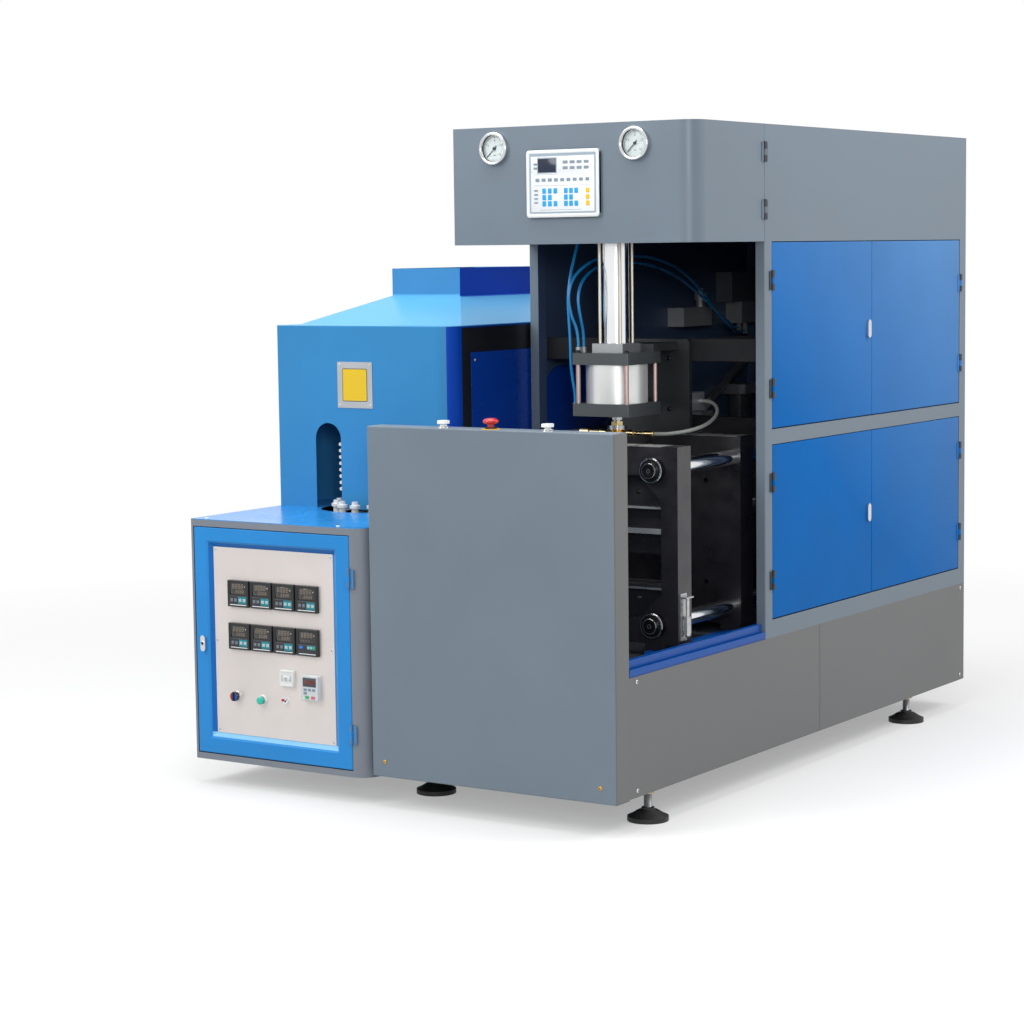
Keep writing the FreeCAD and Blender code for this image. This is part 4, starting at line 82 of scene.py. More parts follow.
def colour(name, hex_colour, description):
    """Colour field of a property group."""
    return bpy.props.FloatVectorProperty(name=name, description=description, subtype="COLOR",
                                         size=4, min=0.0, max=1.0, default=linear(hex_colour))


def angle(name, degrees, description):
    """Angle field of a property group."""
    return bpy.props.FloatProperty(name=name, description=description, subtype="ANGLE",
                                   default=math.radians(degrees))


def power(name, watts, lamp):
    """Field of a property group for a lamp's power."""
    return bpy.props.FloatProperty(name=name, description=f"Power of the {lamp}, in watts", default=watts, min=0)


def length(name, millimetres, description):
    """Length field of a property group, shown in the scene's unit."""
    return bpy.props.FloatProperty(name=name, description=description, unit="LENGTH", subtype="DISTANCE",
                                   precision=4, min=0.0, default=millimetres * MM)


# ---------------------------------------------------------------- places and looks that several parts share
FORWARD, UPWARD = (0, -1, 0), (0, 0, 1)
STACK = (375, 637)                                      # axis of the nozzle and its cylinders: across, back
SELECTOR, RUN, TOGGLE = (-466, 253), (-376, 249), (-295, 254)       # controls of the panel: across, up
LATCH = (-567, -9, 393)                                 # front of the cabinet latch's handle
GAUGE_X, GAUGE_Z = (134, 570), 1724                     # middles of the two gauges: across, up
DIAL_Y, GAUGE_PROUD = 416, 12                           # depth of their dials, height of their bezels
RIVETS = [(x, z) for x in (-383, -278) for z in (1028, 1141)]       # of the hood's plate: across, up
START_X, MUSHROOM = (226, 542), (372, 25, 1005)         # start buttons beside the red one
FEET = [(x, y, 87) for x in (44, 705) for y in (225, 1790)] + [
    (x, y, 70) for x in (-507.5, -112.5) for y in (500, 1280)]      # across, back, top of the stud
POWDER = {"cloud": 0.04, "cloud_mm": 260, "grain_mm": 2.2, "grain": 0.12}
ENAMEL = {"cloud": 0.05, "cloud_mm": 300, "grain_mm": 5.0, "grain": 0.04}
SHEEN = "Specular IOR Level"
SHARP_FROM = math.radians(40)                           # edges that turn further stay sharp
NOISE = {1: 0.3, 2: 0.7}                                # where most of a noise texture's values lie
GRAIN_DEPTH = 0.15                                      # height of a grain as a share of its size


def round_stack(reach):
    """The four places that lie reach to either side of the stack's axis, across and back."""
    return [(STACK[0] + a * reach, STACK[1] + b * reach) for a in (-1, 1) for b in (-1, 1)]


def on_panel(control, y):
    """Place of a panel control at a depth."""
    return control[0], y, control[1]


# ---------------------------------------------------------------- what a user may change
class MachinePaint(bpy.types.PropertyGroup):
    """Colours of the machine's finishes."""
    slate: colour("Slate grey", "6e7c89", "Powder coat of the blower's sheets")
    plinth: colour("Plinth grey", "6a6b6c", "Powder coat of the base's sheets")
    inside: colour("Inside blue", "3d5070", "Paint inside the housing")
    door: colour("Door blue", "0068b8", "Enamel of the four side doors")
    heater: colour("Heater blue", "2d8cd6", "Enamel of the heater's top and door")
    hood: colour("Hood blue", "3a88bf", "Enamel of the hood's upright sides")
    # The roof cyan is the hood blue painted paler: a painted highlight of the light on the upward slopes
    roof: colour("Roof cyan", "58aadc", "Enamel of the hood's slopes")
    deep: colour("Deep blue", "0743b0", "Enamel of the hood's side cover")
    cabinet: colour("Cabinet grey", "7a818c", "Powder coat of the heater's cabinet")
    track: colour("Track blue", "0650a6", "Enamel of the guard tracks")
    casting: colour("Casting black", "1f1e23", "Paint of the platens and the cylinder bracket")
    panel: colour("Panel steel", "d9d2cf", "Brushed plate of the heater's control panel")
    tube: colour("Tube blue", "0d86c9", "Polyurethane of the air lines")
    hose: colour("Hose grey", "8a8f8b", "Rubber of the nozzle's hose")


class MachineInstruments(bpy.types.PropertyGroup):
    """Sizes and colours of the gauges, keypads and controllers."""
    dial_sweep: angle("Dial sweep", 270, "Angle from the first to the last mark")
    dial_steps: bpy.props.IntProperty(name="Dial steps", description="Marks on a pressure dial", default=40, min=4)
    dial_last: bpy.props.IntProperty(name="Dial end", description="Number at the end of the dial", default=16, min=1)
    key_height: length("Key height", 0.9, "How far the keypad's pads stand proud")
    cyan_key: colour("Cyan keys", "1fa4e6", "Motion keys of the keypad")
    yellow_key: colour("Yellow keys", "f0c417", "Mode keys of the keypad")
    grey_key: colour("Grey keys", "8797a6", "Function keys of the keypad")
    digit: colour("Digits", "8d8173", "Unlit segments of the displays")
    teal: colour("Teal strip", "0d7f8c", "Key strip of the temperature controllers")


class MachineStudio(bpy.types.PropertyGroup):
    """Camera, lamps and floor."""
    camera_place: bpy.props.FloatVectorProperty(name="Camera", description="Where the camera stands",
                                                subtype="XYZ", unit="LENGTH", default=at(3936, -5270, 1455))
    azimuth: angle("Azimuth", 33.49, "Turn round the machine, from its front to its right")
    elevation: angle("Elevation", 5.91, "Height of the camera's line above level")
    roll: angle("Roll", -0.75, "Tilt of the picture")
    lens: bpy.props.FloatProperty(name="Lens", description="Focal length on a 36 mm sensor",
                                  subtype="DISTANCE_CAMERA", default=89.1, min=10)
    floor: colour("Floor", "f4f4f4", "Pale studio floor")
    world_light: bpy.props.FloatProperty(name="Room light", description="Strength of the even white room",
                                         default=0.5, min=0)
    key_light: power("Key lamp", 150, "large lamp at the front left")
    fill_light: power("Fill lamp", 62, "lamp at the right")
    top_light: power("Top lamp", 110, "lamp overhead")
    front_light: power("Front lamp", 110, "lamp beside the camera")


# ---------------------------------------------------------------- node work
def add(material, kind, inputs=None, **settings):
    """Adds one node: inputs maps a socket to its value or to the socket that feeds it."""
    tree = material.node_tree
    node = tree.nodes.new("ShaderNode" + kind)
    for field, value in settings.items():
        setattr(node, field, value)
    for socket, value in (inputs or {}).items():
        if isinstance(value, bpy.types.NodeSocket):
            tree.links.new(value, node.inputs[socket])
        else:
            node.inputs[socket].default_value = value
    return node


def blank(name):
    """New material with nothing but its output node."""
    material = bpy.data.materials.new(name)
    material.use_nodes = True
    material.node_tree.nodes.clear()
    return material, add(material, "OutputMaterial")


def block_zone(low, high):
    """Zone between two corners in millimetres: the largest of the three distances from the
    middle, each less half a side, is under 0."""
    a, b = at(*low), at(*high)

    def mask(material, place):
        away = add(material, "VectorMath", {0: place, 1: (a + b) / 2}, operation="SUBTRACT")
        away = add(material, "VectorMath", {0: away.outputs[0]}, operation="ABSOLUTE")
        past = add(material, "VectorMath", {0: away.outputs[0], 1: (b - a) / 2}, operation="SUBTRACT")
        xyz = add(material, "SeparateXYZ", {0: past.outputs[0]}).outputs
        largest = add(material, "Math", {0: xyz[0], 1: xyz[1]}, operation="MAXIMUM")
        largest = add(material, "Math", {0: largest.outputs[0], 1: xyz[2]}, operation="MAXIMUM")
        return add(material, "Math", {0: largest.outputs[0], 1: 0.0}, operation="LESS_THAN").outputs[0]
    return mask


def round_zone(centre, axis, radius):
    """Zone within a radius of an endless line through a point in millimetres: the length of the
    distance with its part along the axis taken out."""
    middle = at(*centre)
    across = Vector([1.0 - abs(a) for a in axis])

    def mask(material, place):
        away = add(material, "VectorMath", {0: place, 1: middle}, operation="SUBTRACT")
        away = add(material, "VectorMath", {0: away.outputs[0], 1: across}, operation="MULTIPLY")
        away = add(material, "VectorMath", {0: away.outputs[0]}, operation="LENGTH")
        return add(material, "Math", {0: away.outputs[1], 1: radius * MM}, operation="LESS_THAN").outputs[0]
    return mask


def both(first, second):
    """Zone inside both of two zones."""
    def mask(material, place):
        return add(material, "Math", {0: first(material, place), 1: second(material, place)},
                   operation="MULTIPLY").outputs[0]
    return mask


def rgba(tint):
    """Colour for a socket, from sRGB hex or from a colour property."""
    return tuple(linear(tint) if isinstance(tint, str) else tint)


def finish(name, tint, metallic=0.0, roughness=0.4, cloud=0.05, cloud_mm=140.0, grain_mm=3.0, grain=0.1,
           stretch=(1, 1, 1), uneven=0.05, coat=0.0, zones=(), fade=None, **sockets):
    """Principled surface: cloudy colour and gloss, and a fine bump of a real size.

    cloud and uneven are how far colour and roughness swing, grain the bump's strength and
    stretch how much longer its grains are along each axis. zones are (mask, tint, metallic,
    roughness) of the pieces in one node that have another finish, the last one on top. fade is
    (start, end, tint) of two places in millimetres between which the colour turns to tint.
    """
    material, output = blank(name)
    place = add(material, "TexCoord").outputs["Object"]
    clouds = add(material, "TexNoise", {"Vector": place, "Scale": 1 / (cloud_mm * MM), "Detail": 3.0})
    colour_out, metal_out, rough_out = rgba(tint), metallic, roughness
    for mask, zone_tint, zone_metal, zone_rough in zones:
        inside = mask(material, place)
        colour_out = add(material, "Mix", {0: inside, 6: colour_out, 7: rgba(zone_tint)}, data_type="RGBA").outputs[2]
        metal_out = add(material, "Mix", {0: inside, 2: metal_out, 3: zone_metal}).outputs[0]
        rough_out = add(material, "Mix", {0: inside, 2: rough_out, 3: zone_rough}).outputs[0]
    if fade:
        start, end = at(*fade[0]), at(*fade[1])
        away = add(material, "VectorMath", {0: place, 1: start}, operation="SUBTRACT")
        along = add(material, "VectorMath", {0: away.outputs[0], 1: (end - start) / (end - start).length_squared},
                    operation="DOT_PRODUCT")
        share = add(material, "Math", {0: along.outputs[1], 1: 1.0}, operation="MULTIPLY", use_clamp=True)
        colour_out = add(material, "Mix", {0: share.outputs[0], 6: colour_out, 7: rgba(fade[2])},
                         data_type="RGBA").outputs[2]
    shade = add(material, "MapRange", {0: clouds.outputs["Fac"], **NOISE, 3: 1 - cloud, 4: 1 + cloud})
    colour_out = add(material, "Mix", {0: 1.0, 6: colour_out, 7: shade.outputs[0]}, data_type="RGBA",
                     blend_type="MULTIPLY").outputs[2]
    swing = add(material, "MapRange", {0: clouds.outputs["Fac"], **NOISE, 3: -uneven, 4: uneven})
    rough_out = add(material, "Math", {0: rough_out, 1: swing.outputs[0]}, operation="ADD", use_clamp=True).outputs[0]
    lie = add(material, "Mapping", {"Vector": place, "Scale": [1 / s for s in stretch]})
    grains = add(material, "TexNoise", {"Vector": lie.outputs[0], "Scale": 1 / (grain_mm * MM), "Detail": 2.0})
    bump = add(material, "Bump", {"Strength": grain, "Distance": grain_mm * MM * GRAIN_DEPTH,
                                  "Height": grains.outputs["Fac"]})
    surface = add(material, "BsdfPrincipled", {"Base Color": colour_out, "Metallic": metal_out,
                                               "Roughness": rough_out, "Normal": bump.outputs[0],
                                               "Coat Weight": coat, "Coat Roughness": 0.12, **sockets})
    material.node_tree.links.new(surface.outputs[0], output.inputs[0])
    return material


def small(name, tint, roughness, cloud, grain, **more):
    """Finish of a small moulded, turned or printed part: a grain of 1 mm."""
    return finish(name, tint, roughness=roughness, cloud=cloud, grain_mm=1.0, grain=grain, **more)


def alike(masks, *look):
    """Zones with one and the same tint, metallic and roughness."""
    return [(mask, *look) for mask in masks]


def dress(material, *nodes):
    """Gives CAD nodes their material."""
    for name in nodes:
        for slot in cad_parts[name].material_slots:
            slot.material = material


# ---------------------------------------------------------------- surfaces
FRONT = (Vector((1, 0, 0)), Vector((0, 0, 1)), Vector((0, -1, 0)))
TOP = (Vector((1, 0, 0)), Vector((0, 1, 0)), Vector((0, 0, 1)))


def circle(radius, points=40):
    """Radius times cosine and sine of a full turn."""
    turn = np.linspace(0, 2 * np.pi, points, endpoint=False)
    return radius * np.stack([np.cos(turn), np.sin(turn)], axis=1)


def rounded_rectangle(width, height, radius, points=5):
    """Each corner's centre plus the radius times cosine and sine of its quarter turn."""
    quarter = np.arange(4)[:, None] * np.pi / 2
    turn = (quarter + np.linspace(0, np.pi / 2, points)).ravel()
    middle = (quarter + np.pi / 4).ravel().repeat(points)
    half = np.array([width / 2 - radius, height / 2 - radius])
    return np.sign(np.stack([np.cos(middle), np.sin(middle)], axis=1)) * half + radius * np.stack(
        [np.cos(turn), np.sin(turn)], axis=1)


def rectangle(width, height):
    """Four corners, counter-clockwise."""
    return np.array([(1, 1), (-1, 1), (-1, -1), (1, -1)]) * (width / 2, height / 2)


def moved(outline, x=0.0, y=0.0, turn=0.0):
    """Outline turned about its middle and then shifted in its own plane."""
    c, s = math.cos(turn), math.sin(turn)
    return outline @ np.array([[c, s], [-s, c]]) + (x, y)


def stacked(outline, steps, centre, side, pivot=(0.0, 0.0)):
    """Rows of one outline: each (inset, lift) step draws it in towards its pivot and lifts it off the face."""
    across, up, out = (np.array(v) for v in side)
    reach = np.abs(outline - pivot).max(axis=0)
    rows = []
    for inset, lift in steps:
        drawn = (outline - pivot) * (1 - inset / reach) + pivot
        rows.append(np.array(centre) + drawn[:, :1] * across + drawn[:, 1:] * up + lift * out)
    return np.array(rows)


def rim_rows(size, radius, points, steps, centre, sharper=0):
    """Rows of rounded rectangles seen from the front: each (inset, lift) step moves every side in
    by the inset and takes as much off the corner radius, up to sharper."""
    rows = []
    for inset, lift in steps:
        outline = rounded_rectangle(size[0] - 2 * inset, size[1] - 2 * inset, radius - min(inset, sharper), points)
        rows.append(stacked(outline, [(0, lift)], centre, FRONT)[0])
    return np.array(rows)


def lathe(profile, centre, out, points=40):
    """Profile of (radius, height) pairs turned about an axis."""
    axis = np.array(out, float)
    first = np.array(Vector(out).orthogonal().normalized())
    second = np.cross(axis, first)
    turn = circle(1.0, points)
    ring = turn[:, :1] * first + turn[:, 1:] * second
    return np.array([np.array(centre) + radius * ring + height * axis for radius, height in profile])


class Piece:
    """Surfaces gathered into one mesh object. Points are in millimetres until it is made."""

    def __init__(self, name, body, *materials):
        self.name, self.body, self.materials = name, body, materials
        self.points, self.faces, self.numbers, self.count = [], [], [], 0

    def rows(self, rows, number=0, closed=True):
        """Quads between neighbouring rows of points, and a face over the first and the last row."""
        many, around = rows.shape[:2]
        index = self.count + np.arange(many * around).reshape(many, around)
        after = np.roll(index, -1, axis=1)
        quads = np.stack([index[:-1], after[:-1], after[1:], index[1:]], axis=-1).reshape(-1, 4).tolist()
        lids = [index[0, ::-1].tolist(), index[-1].tolist()] if closed else []
        self.points.append(rows.reshape(-1, 3))
        self.faces += quads + lids
        self.numbers += [number] * (len(quads) + len(lids))
        self.count += many * around

    def mesh(self, points, faces, number=0):
        """Points and faces as they are."""
        self.points.append(points)
        self.faces += [[self.count + i for i in face] for face in faces]
        self.numbers += [number] * len(faces)
        self.count += len(points)

    def plate(self, x, z, width, height, radius, points, steps, centre, number):
        """Rounded rectangle on a front face, drawn in towards its own middle at x, z."""
        outline = moved(rounded_rectangle(width, height, radius, points), x, z)
        self.rows(stacked(outline, steps, centre, FRONT, (x, z)), number)

    def make(self):
        """Writes the mesh into a new object that rides on its body."""
        mesh = bpy.data.meshes.new(self.name)
        points = np.concatenate(self.points) * MM + np.array(CORNER)
        mesh.from_pydata(points.tolist(), [], self.faces)
        for material in self.materials:
            mesh.materials.append(material)
        mesh.polygons.foreach_set("material_index", self.numbers)
        mesh.shade_smooth()
        mesh.set_sharp_from_angle(angle=SHARP_FROM)
        mesh.update()
        piece = bpy.data.objects.new(self.name, mesh)
        bpy.context.scene.collection.objects.link(piece)
        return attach(piece, self.body) if self.body else piece


def numeral(text, height, centre, side):
    """Points and faces of a number in Blender's own font, flat on a face."""
    letters = bpy.data.curves.new("numeral", "FONT")
    letters.body, letters.size, letters.align_x, letters.align_y = text, height, "CENTER", "CENTER"
    letters.extrude = 0.1
    shown = bpy.data.objects.new("numeral", letters)
    flat = bpy.data.meshes.new_from_object(shown)
    flat_points = np.array([v.co for v in flat.vertices])
    faces = [list(p.vertices) for p in flat.polygons]
    bpy.data.objects.remove(shown)
    bpy.data.meshes.remove(flat)
    bpy.data.curves.remove(letters)
    return np.array(centre) + flat_points @ np.array([list(v) for v in side]), faces


# ---------------------------------------------------------------- studio and cords
def looked_at(material):
    """1 where the camera, a reflection or a ray through glass sees the surface, and 0 for its light on others."""
    path = add(material, "LightPath").outputs
    through = add(material, "Math", {0: path["Is Glossy Ray"], 1: path["Is Transmission Ray"]}, operation="MAXIMUM")
    return add(material, "Math", {0: path["Is Camera Ray"], 1: through.outputs[0]}, operation="MAXIMUM").outputs[0]


class MACHINE_OT_studio(bpy.types.Operator):
    """Camera, lamps, pale floor and white room"""
    bl_idname = "machine.studio"
    bl_label = "Studio"

    def execute(self, context):
        studio = context.scene.machine_studio
        azimuth, elevation, roll = studio.azimuth, studio.elevation, studio.roll
        ahead = Vector((-math.sin(azimuth) * math.cos(elevation), math.cos(azimuth) * math.cos(elevation),
                        -math.sin(elevation)))
        level = ahead.cross(Vector((0, 0, 1))).normalized()
        upright = level.cross(ahead)
        right = level * math.cos(roll) + upright * math.sin(roll)
        up = upright * math.cos(roll) - level * math.sin(roll)
        camera = bpy.data.objects.new("camera", bpy.data.cameras.new("camera"))
        camera.data.lens, camera.data.sensor_width = studio.lens, 36.0
        camera.data.clip_end = 100.0
        camera.matrix_world = Matrix((right, up, -ahead)).transposed().to_4x4()
        camera.location = studio.camera_place
        context.scene.collection.objects.link(camera)
        context.scene.camera = camera
        context.scene.view_settings.view_transform = "Standard"

        middle = at(375, 900, 900)
        self.lamp("key_lamp", middle + Vector((-2.6, -4.6, 3.4)), middle, 3.4, studio.key_light)
        self.lamp("fill_lamp", middle + Vector((2.7, 1.0, 2.4)), middle, 1.8, studio.fill_light)
        self.lamp("top_lamp", middle + Vector((-0.3, -0.6, 3.6)), middle, 3.2, studio.top_light)
        self.lamp("front_lamp", studio.camera_place + Vector((0.3, 0.0, 0.9)), middle, 1.4, studio.front_light)
        self.room(context, studio)
        self.floor(context, studio)
        return {"FINISHED"}

    def lamp(self, name, place, aim, size, power):
        """Round lamp at a place, turned to its aim."""
        lamp = bpy.data.objects.new(name, bpy.data.lights.new(name, "AREA"))
        lamp.data.shape, lamp.data.size, lamp.data.energy = "DISK", size, power
        lamp.location = place
        lamp.rotation_euler = (aim - place).to_track_quat("-Z", "Y").to_euler()
        bpy.context.scene.collection.objects.link(lamp)

    def room(self, context, studio):
        """Even light on the object, plain white where the camera or a reflection looks past it."""
        world = bpy.data.worlds.new("room")
        world.use_nodes = True
        world.node_tree.nodes.clear()
        output = add(world, "OutputWorld")
        even = add(world, "Background", {"Color": (1, 1, 1, 1), "Strength": studio.world_light})
        white = add(world, "Background", {"Color": (1, 1, 1, 1), "Strength": 1.0})
        mixed = add(world, "MixShader", {0: looked_at(world), 1: even.outputs[0], 2: white.outputs[0]})
        world.node_tree.links.new(mixed.outputs[0], output.inputs[0])
        context.scene.world = world

    def floor(self, context, studio):
        """Square sheet on z = 0 that runs out of view; past the object it is as white as the room."""
        reach = 14.0                # half its side, in metres
        near, wide = 1.2, 4.5       # metres from the middle between which it turns as white as the room
        mesh = bpy.data.meshes.new("studio_floor")
        mesh.from_pydata([(-reach, -reach, 0), (reach, -reach, 0), (reach, reach, 0), (-reach, reach, 0)],
                         [], [(0, 1, 2, 3)])
        sheet = bpy.data.objects.new("studio_floor", mesh)
        context.scene.collection.objects.link(sheet)
        # Matt photographic paper: even and pale, it keeps the soft shadow
        paper, output = blank("matt photographic paper")
        place = add(paper, "TexCoord").outputs["Object"]
        fibre = add(paper, "TexNoise", {"Vector": place, "Scale": 220.0})
        bump = add(paper, "Bump", {"Strength": 0.04, "Distance": 0.001, "Height": fibre.outputs["Fac"]})
        looked = looked_at(paper)
        shown = add(paper, "Mix", {0: looked, 6: linear("a2a2a0"), 7: tuple(studio.floor)}, data_type="RGBA")
        surface = add(paper, "BsdfPrincipled", {"Base Color": shown.outputs[2], "Roughness": 0.75,
                                                "Normal": bump.outputs[0]})
        away = add(paper, "VectorMath", {0: place}, operation="LENGTH")
        far = add(paper, "MapRange", {0: away.outputs[1], 1: near, 2: wide, 3: 0.35, 4: 1.0})
        seen = add(paper, "Math", {0: looked, 1: far.outputs[0]}, operation="MULTIPLY")
        white = add(paper, "Emission", {"Color": (1, 1, 1, 1), "Strength": 1.0})
        mixed = add(paper, "MixShader", {0: seen.outputs[0], 1: surface.outputs[0], 2: white.outputs[0]})
        paper.node_tree.links.new(mixed.outputs[0], output.inputs[0])
        mesh.materials.append(paper)


# each air line's route, as it is laid in the part's source
UPPER_LINE = ((295, 570, 1190), (295, 570, 1232), (286, 546, 1278), (284, 536, 1332), (290, 556, 1382),
              (293, 626, 1416), (279, 723, 1431), (260, 833, 1434), (241, 943, 1434), (222, 1054, 1431),
              (203, 1164, 1421), (184, 1273, 1405), (165, 1380, 1379), (147, 1485, 1343), (130, 1586, 1298),
              (114, 1672, 1252), (104, 1768, 1222), (72, 1860, 1202), (26, 1922, 1197), (26, 1975, 1197))
LOWER_LINE = ((300, 590, 1190), (300, 590, 1228), (304, 566, 1272), (302, 556, 1322), (300, 580, 1368),
              (288, 660, 1399), (270, 762, 1413), (252, 872, 1415), (233, 982, 1414), (214, 1092, 1406),
              (195, 1202, 1392), (176, 1310, 1372), (158, 1415, 1344), (144, 1518, 1310), (132, 1622, 1268),
              (124, 1700, 1230), (112, 1778, 1200), (82, 1858, 1186), (48, 1920, 1185), (48, 1975, 1185))
CANOPY_LINE = ((262, 604, 1036), (262, 604, 1064), (262, 592, 1096), (262, 583, 1141), (263, 580, 1212),
               (262, 574, 1275), (261, 573, 1331), (262, 585, 1384), (263, 608, 1440), (266, 628, 1490),
               (272, 648, 1545), (279, 666, 1598), (284, 682, 1650), (286, 700, 1696), (286, 700, 1728))
NOZZLE_LINE = ((491.3, 637, 955), (526, 637, 955), (563, 662, 960), (581, 704, 966), (586, 756, 975),
               (582, 806, 988), (572, 846, 1004), (550, 876, 1019), (524, 890, 1030), (500, 890, 1030))


def route_curve(name, route, radius):
    """Open NURBS spline whose control points are the route's points."""
    curve = bpy.data.curves.new(name, "CURVE")
    curve.dimensions = "3D"
    spline = curve.splines.new("NURBS")
    spline.points.add(len(route) - 1)
    for point, place in zip(spline.points, route):
        point.co = (*at(*place), 1.0)
    spline.order_u = 3
    spline.use_endpoint_u = True
    spline.resolution_u = 16
    curve.bevel_depth = radius * MM
    curve.bevel_resolution = 5
    curve.use_fill_caps = True
    return curve


def run_length(points):
    """Sum of the distances between neighbouring points."""
    return float(np.linalg.norm(np.diff(np.array(points), axis=0), axis=1).sum())


def route_points(name, route):
    """Points read from the route's spline with no bevel."""
    bare = bpy.data.objects.new(name, route_curve(name, route, 0.0))
    line = bpy.data.meshes.new_from_object(bare)
    points = [v.co.copy() for v in line.vertices]
    bpy.data.objects.remove(bare)
    bpy.data.meshes.remove(line)
    return points


def tube_rows(points, radius, around=20):
    """Rings square to the path: each ring's first radius is the last one's, less its part along the path."""
    path = np.array([list(p) for p in points])
    along = np.gradient(path, axis=0)
    along /= np.linalg.norm(along, axis=1, keepdims=True)
    side = np.cross(along[0], (0.0, 0.0, 1.0))
    side /= np.linalg.norm(side)
    turn = circle(radius, around)
    rings = []
    for centre, direction in zip(path, along):
        side = side - direction * side.dot(direction)
        side /= np.linalg.norm(side)
        rings.append(centre + turn[:, :1] * side + turn[:, 1:] * np.cross(direction, side))
    return np.array(rings)


class MACHINE_OT_air_lines(bpy.types.Operator):
    """Three blue air lines and the nozzle's grey hose"""
    bl_idname = "machine.air_lines"
    bl_label = "Air lines"

    def execute(self, context):
        paint = context.scene.machine_paint
        # Polyurethane tube, extruded: even and glossy, with a soft see-through edge
        blue = finish("extruded polyurethane tube", paint.tube, roughness=0.28, cloud=0.03, grain_mm=2.0, grain=0.03,
                      coat=0.25, uneven=0.03)
        for node, route in (("air_hose_upper", UPPER_LINE), ("air_hose_lower", LOWER_LINE),
                            ("air_hose_canopy", CANOPY_LINE)):
            self.line(node, route, blue)
        # Nitrile rubber hose, extruded over cloth: matt, with the cloth's weave at 3 mm showing through
        rubber = finish("extruded nitrile rubber", paint.hose, roughness=0.62, cloud=0.08, grain_mm=3.0, grain=0.35)
        points = route_points("nozzle_line_path", NOZZLE_LINE)
        hose = Piece("nozzle_line", None, rubber)
        hose.rows((tube_rows(points, 5.0 * MM) - np.array(CORNER)) / MM)
        tube = hose.make()
        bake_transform(tube)
        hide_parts("nozzle_hose")
        return {"FINISHED"}

    def line(self, node, route, material):
        """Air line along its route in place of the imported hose."""
        name = node.replace("air_hose", "air_line")
        tube = bpy.data.objects.new(name, route_curve(name, route, 4.0))
        tube.data.materials.append(material)
        bpy.context.scene.collection.objects.link(tube)
        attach(tube, "root")
        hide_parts(node)
        run_length(route_points(name + "_path", route))


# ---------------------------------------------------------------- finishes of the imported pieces
def below(colour_value, share):
    """Red, green and blue each times the same share: under 1 it is darker, over 1 paler."""
    return [c * share for c in colour_value[:3]] + [1.0]


